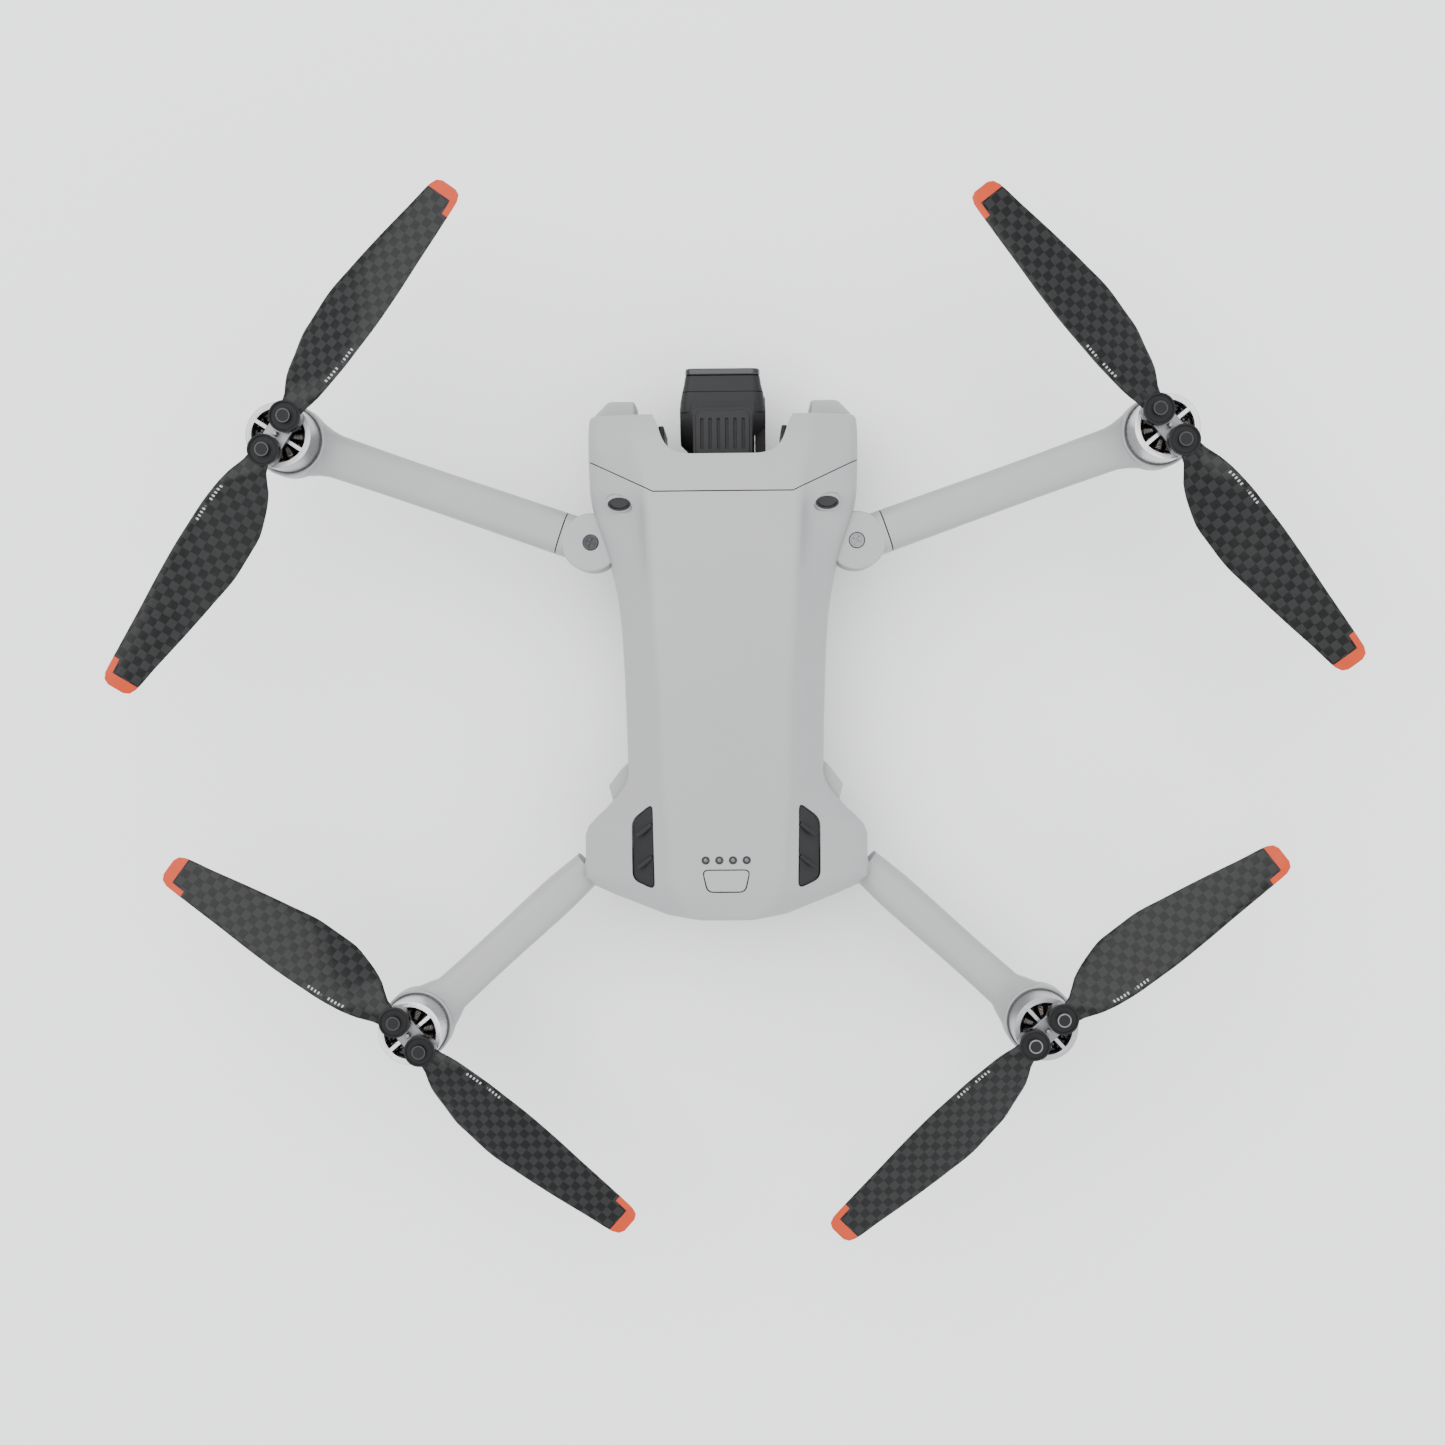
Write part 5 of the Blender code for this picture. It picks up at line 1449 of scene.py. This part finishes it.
class MESH_OT_craft_camera(bpy.types.Operator):
    """Builds the camera with its front, pad, ribs and lens, and the gimbal round it"""

    bl_idname = "mesh.craft_camera"
    bl_label = "Camera and gimbal"

    def execute(self, context):
        place = joint_place("gimbal_pitch")
        dark = finish_for("dark")
        front = node_box("camera_body")[0].y - place.y
        nose = [(front + back, *shape) for back, *shape in CAMERA_NOSE]
        rear = [(front + 6.3, 10.75, 9.5, 2.2), (-3.2, 11.2, 9.9, 2.8), (-0.5, 11.25, 10.1, 3.0)]
        drum = bevel(along(rod(10.4, -11.3, 11.3, sides=96), (1, 0, 0)), 3.0, 1)
        taper = ((front, 9.8), (front + 6.3, 10.7), (-3.2, 11.15), (0.0, 11.4), (-front, 11.4))
        camera = fuse(
            crop(drum, loft([self.section(y, half, -front, 0.2) for y, half in taper])),
            loft([self.section(*shape) for shape in rear]),
            loft([self.section(y, 10.2, 9.1, 2.2) for y in (front + 4.0, front + 7.0)]),
            loft([self.section(*shape) for shape in nose]),
        )
        swept = block((-FAR, 0.0, -FAR), (-8.3, FAR, 4.6))
        swept.rotation_euler = (math.radians(30), 0, 0)
        cut(
            camera,
            along(rod(5.75, -FAR, -8.3, sides=96), (1, 0, 0)),
            block((-FAR, -4.6, -FAR), (-8.3, FAR, 0.0)),
            settle(swept),
            along(rod(LENS_BORE, 0.0, 14.0, sides=96), (0, -1, 0), (0, front + 2.0, 0)),
        )
        bevel(camera, 0.2, 3, 30)
        camera.location = place
        settle(camera)
        finished(camera, "camera_finished", "camera", dark, ["camera_body"], 28)
        self.face(place, front)
        self.lens(place, front)
        self.fittings(dark)
        return {"FINISHED"}

    def section(self, y, half, tall, corner):
        """A rounded oblong across the camera."""
        square = [(-half, -tall), (half, -tall), (half, tall), (-half, tall)]
        return [(x, y, z) for x, z in flat_rounded(square, corner + 0.8, 7)]

    def housing(self, dark):
        """The ribbed cover of the yaw motor, over the back of the camera."""
        low, high = node_box("yaw_motor_housing")
        front = low.y - 2.3
        outline = [(low.x, high.y), (low.x, front), (high.x, front), (high.x, high.y)]
        cover = bevel(slab(flat_rounded(outline, 2.4, 7), low.z, high.z - 0.5), 0.3, 3)
        pad = flat_rounded([(x * 0.9, y + 0.8 * (y < -60)) for x, y in outline], 2.0, 7)
        fuse(cover, bevel(slab(pad, high.z - 1.5, high.z), 0.25, 3))
        for i in range(RIB_COUNT):
            x = (i - (RIB_COUNT - 1) / 2) * RIB_PITCH
            start = (x - RIB_HALF, front + 2.8, high.z - 0.7)
            cut(cover, bevel(block(start, (x + RIB_HALF, -57.0, high.z + 3)), 0.2, 2))
        bevel(cover, 0.12)
        finished(
            cover, "yaw_housing_finished", "airframe", dark, ["yaw_motor_housing"]
        )

    def face(self, place, front):
        """The glossy front plate, with the lens opening through it."""
        plate = loft([self.section(y, 9.85, 9.0, 1.6) for y in (front, front + 1.85)])
        bevel(plate, 0.45, 3, 60)
        bore = rod(LENS_BORE, -1.0, 14.0, sides=96)
        cut(plate, along(bore, (0, -1, 0), (0, front + 2.5, 0)))
        plate.location = place
        settle(plate)
        finished(plate, "camera_face", "camera", finish_for("trim"))

    def lens(self, place, front):
        barrel = rod(5.2, -1.7, 0.35, sides=96)
        with editing(barrel) as mesh:
            pick(barrel, mesh.faces, lambda c, f: f.normal.z > 0.9)
            for thickness, depth in ((0.3, 0), (0.25, -0.3), (0.5, 0), (0.15, -0.9)):
                bpy.ops.mesh.inset(thickness=thickness, depth=depth)
        note(barrel, "turn", from_axis)
        along(bevel(barrel, 0.08), (0, -1, 0), place + Vector((0, front, 0)))
        finished(
            barrel, "lens_barrel_finished", "camera", finish_for("blacked"),
            ["camera_lens_barrel"],
        )
        deselect()
        bpy.ops.mesh.primitive_uv_sphere_add(segments=48, ring_count=24, radius=6.0)
        glass = settle(bpy.context.object)
        with editing(glass):
            bpy.ops.mesh.select_all(action="SELECT")
            bpy.ops.mesh.bisect(
                plane_co=(0, 0, 4.85), plane_no=(0, 0, 1), clear_inner=True, use_fill=True
            )
        along(glass, (0, -1, 0), place + Vector((0, front + 5.6, 0)))
        finished(
            glass, "lens_glass_finished", "camera", finish_for("glass"),
            ["camera_lens_glass"],
        )

    def fittings(self, dark):
        """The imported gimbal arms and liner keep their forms, with rounded edges."""
        self.housing(dark)
        for node in ("gimbal_yaw_arm", "gimbal_roll_arm", "gimbal_liner"):
            painted(node, dark, 0.35)


class MESH_OT_craft_inner(bpy.types.Operator):
    """Gives the electronics inside the shells their finishes"""

    bl_idname = "mesh.craft_inner"
    bl_label = "Electronics"

    def execute(self, context):
        painted("main_board", finish_for("board"), 0.1)
        # The heat sink takes the darker, shaded copy of the aluminium, whose darkness is a painted
        # shade.
        painted("heat_sink", finish_for("shaded"), 0.1)
        painted("cooling_fan", finish_for("dark"), 0.2)
        painted("port_block", finish_for("steel"), 0.2)
        self.chips(node_box("main_board")[1].z)
        return {"FINISHED"}

    def chips(self, top):
        """Packages soldered onto the board, in a row beside the heat sink."""
        pieces = []
        for i in range(5):
            y = 12.0 - i * 11.0
            size = 2.4 if i % 2 else 3.2
            low = (-16.6, y, top + 0.02)
            high = (-16.6 + 0.8 * size, y + size * 1.6, top + 0.25 * size)
            pieces.append(bevel(block(low, high), 0.12))
        choose(*pieces)
        bpy.ops.object.join()
        finished(
            pieces[0], "board_packages", "airframe", finish_for("trim")
        )


# Studio


CAMERA_PLACE = (-0.004, -0.0036)
CAMERA_TURNS = (("Z", 0.5), ("Y", -0.5), ("X", 1.95))


class CraftStudio(bpy.types.PropertyGroup):
    """The camera above the craft and the light on it."""

    height: FloatProperty(
        name="Camera height", description="Of the camera above the floor",
        unit="LENGTH", min=0.1, default=0.56,
    )
    lens: FloatProperty(
        name="Lens", description="Focal length of the camera", unit="CAMERA", min=1, default=49.65
    )
    light: FloatProperty(
        name="Key light", description="Power of the large soft light",
        unit="POWER", min=0, default=22.0,
    )
    sky: FloatProperty(
        name="Sky", description="Strength of the even light from all round", min=0, default=1.9
    )


class OBJECT_OT_craft_stage(bpy.types.Operator):
    """Adds the pale floor, the soft lights and the camera straight above"""

    bl_idname = "object.craft_stage"
    bl_label = "Stage"

    def execute(self, context):
        sizes = context.scene.craft_studio
        floor_finish = Finish("pale_floor", Base_Color=(0.80, 0.80, 0.80, 1), Roughness=0.9)
        drift = floor_finish.noise(1.3, 3.0)
        floor_finish.feed(
            "Base Color", floor_finish.mix(drift, (0.79, 0.79, 0.79, 1), (0.82, 0.82, 0.82, 1))
        )
        deselect()
        bpy.ops.mesh.primitive_plane_add(size=6.0)
        floor = bpy.context.object
        floor.name = "floor"
        floor.data.materials.append(floor_finish.material)
        for name, power, size, place in (
            ("key_light", sizes.light, 1.5, (0.35, -0.45, 1.25)),
            ("fill_light", sizes.light * 0.45, 1.8, (-0.9, 0.7, 1.0)),
        ):
            deselect()
            bpy.ops.object.light_add(type="AREA", location=place)
            lamp = bpy.context.object
            lamp.name = name
            lamp.data.energy = power
            lamp.data.size = size
            lamp.rotation_euler = (-Vector(place)).to_track_quat("-Z", "Y").to_euler()
        world = bpy.data.worlds.new("studio")
        world.use_nodes = True
        sky = world.node_tree.nodes["Background"]
        sky.inputs["Color"].default_value = (0.95, 0.97, 1.0, 1)
        sky.inputs["Strength"].default_value = sizes.sky
        context.scene.world = world
        self.camera(context, sizes)
        return {"FINISHED"}

    def camera(self, context, sizes):
        """A camera that looks down, a little turned and tipped, with the nose at the top."""
        deselect()
        bpy.ops.object.camera_add(location=(*CAMERA_PLACE, sizes.height))
        camera = bpy.context.object
        camera.data.lens = sizes.lens
        camera.data.sensor_width = 36.0
        camera.data.clip_start = 0.01
        right, up, back = Vector((-1, 0, 0)), Vector((0, -1, 0)), Vector((0, 0, 1))
        looks = Matrix((right, up, back))
        for axis, degrees in CAMERA_TURNS:
            looks = Matrix.Rotation(math.radians(degrees), 3, axis) @ looks
        camera.rotation_euler = looks.transposed().to_euler()
        context.scene.camera = camera


# Panel and registration


OPERATORS = (
    MESH_OT_craft_upper,
    MESH_OT_craft_lower,
    MESH_OT_craft_arms,
    MESH_OT_craft_motors,
    MESH_OT_craft_blades,
    MESH_OT_craft_camera,
    MESH_OT_craft_inner,
    OBJECT_OT_craft_stage,
)


class VIEW3D_PT_craft(bpy.types.Panel):
    """Lists the operators and the sizes they read"""

    bl_idname = "VIEW3D_PT_craft"
    bl_label = "Quadcopter"
    bl_space_type = "VIEW_3D"
    bl_region_type = "UI"
    bl_category = "Quadcopter"

    def draw(self, context):
        for group in GROUPS:
            sizes = getattr(context.scene, group)
            for name in sizes.bl_rna.properties.keys():
                if name not in ("rna_type", "name"):
                    self.layout.prop(sizes, name)
        for operator in OPERATORS:
            self.layout.operator(operator.bl_idname)


GROUPS = {
    "craft_colours": CraftColours,
    "craft_body": CraftBody,
    "craft_rotor": CraftRotor,
    "craft_studio": CraftStudio,
}


def register():
    for kind in (*GROUPS.values(), *OPERATORS, VIEW3D_PT_craft):
        bpy.utils.register_class(kind)
    for name, kind in GROUPS.items():
        setattr(bpy.types.Scene, name, PointerProperty(type=kind))


def unregister():
    for name in GROUPS:
        delattr(bpy.types.Scene, name)
    for kind in (VIEW3D_PT_craft, *reversed(OPERATORS), *GROUPS.values()):
        bpy.utils.unregister_class(kind)


def main():
    register()
    for operator in OPERATORS:
        group, name = operator.bl_idname.split(".")
        if getattr(getattr(bpy.ops, group), name)() != {"FINISHED"}:
            raise RuntimeError(f"{operator.bl_label} did not finish")


if __name__ == "__main__":
    main()
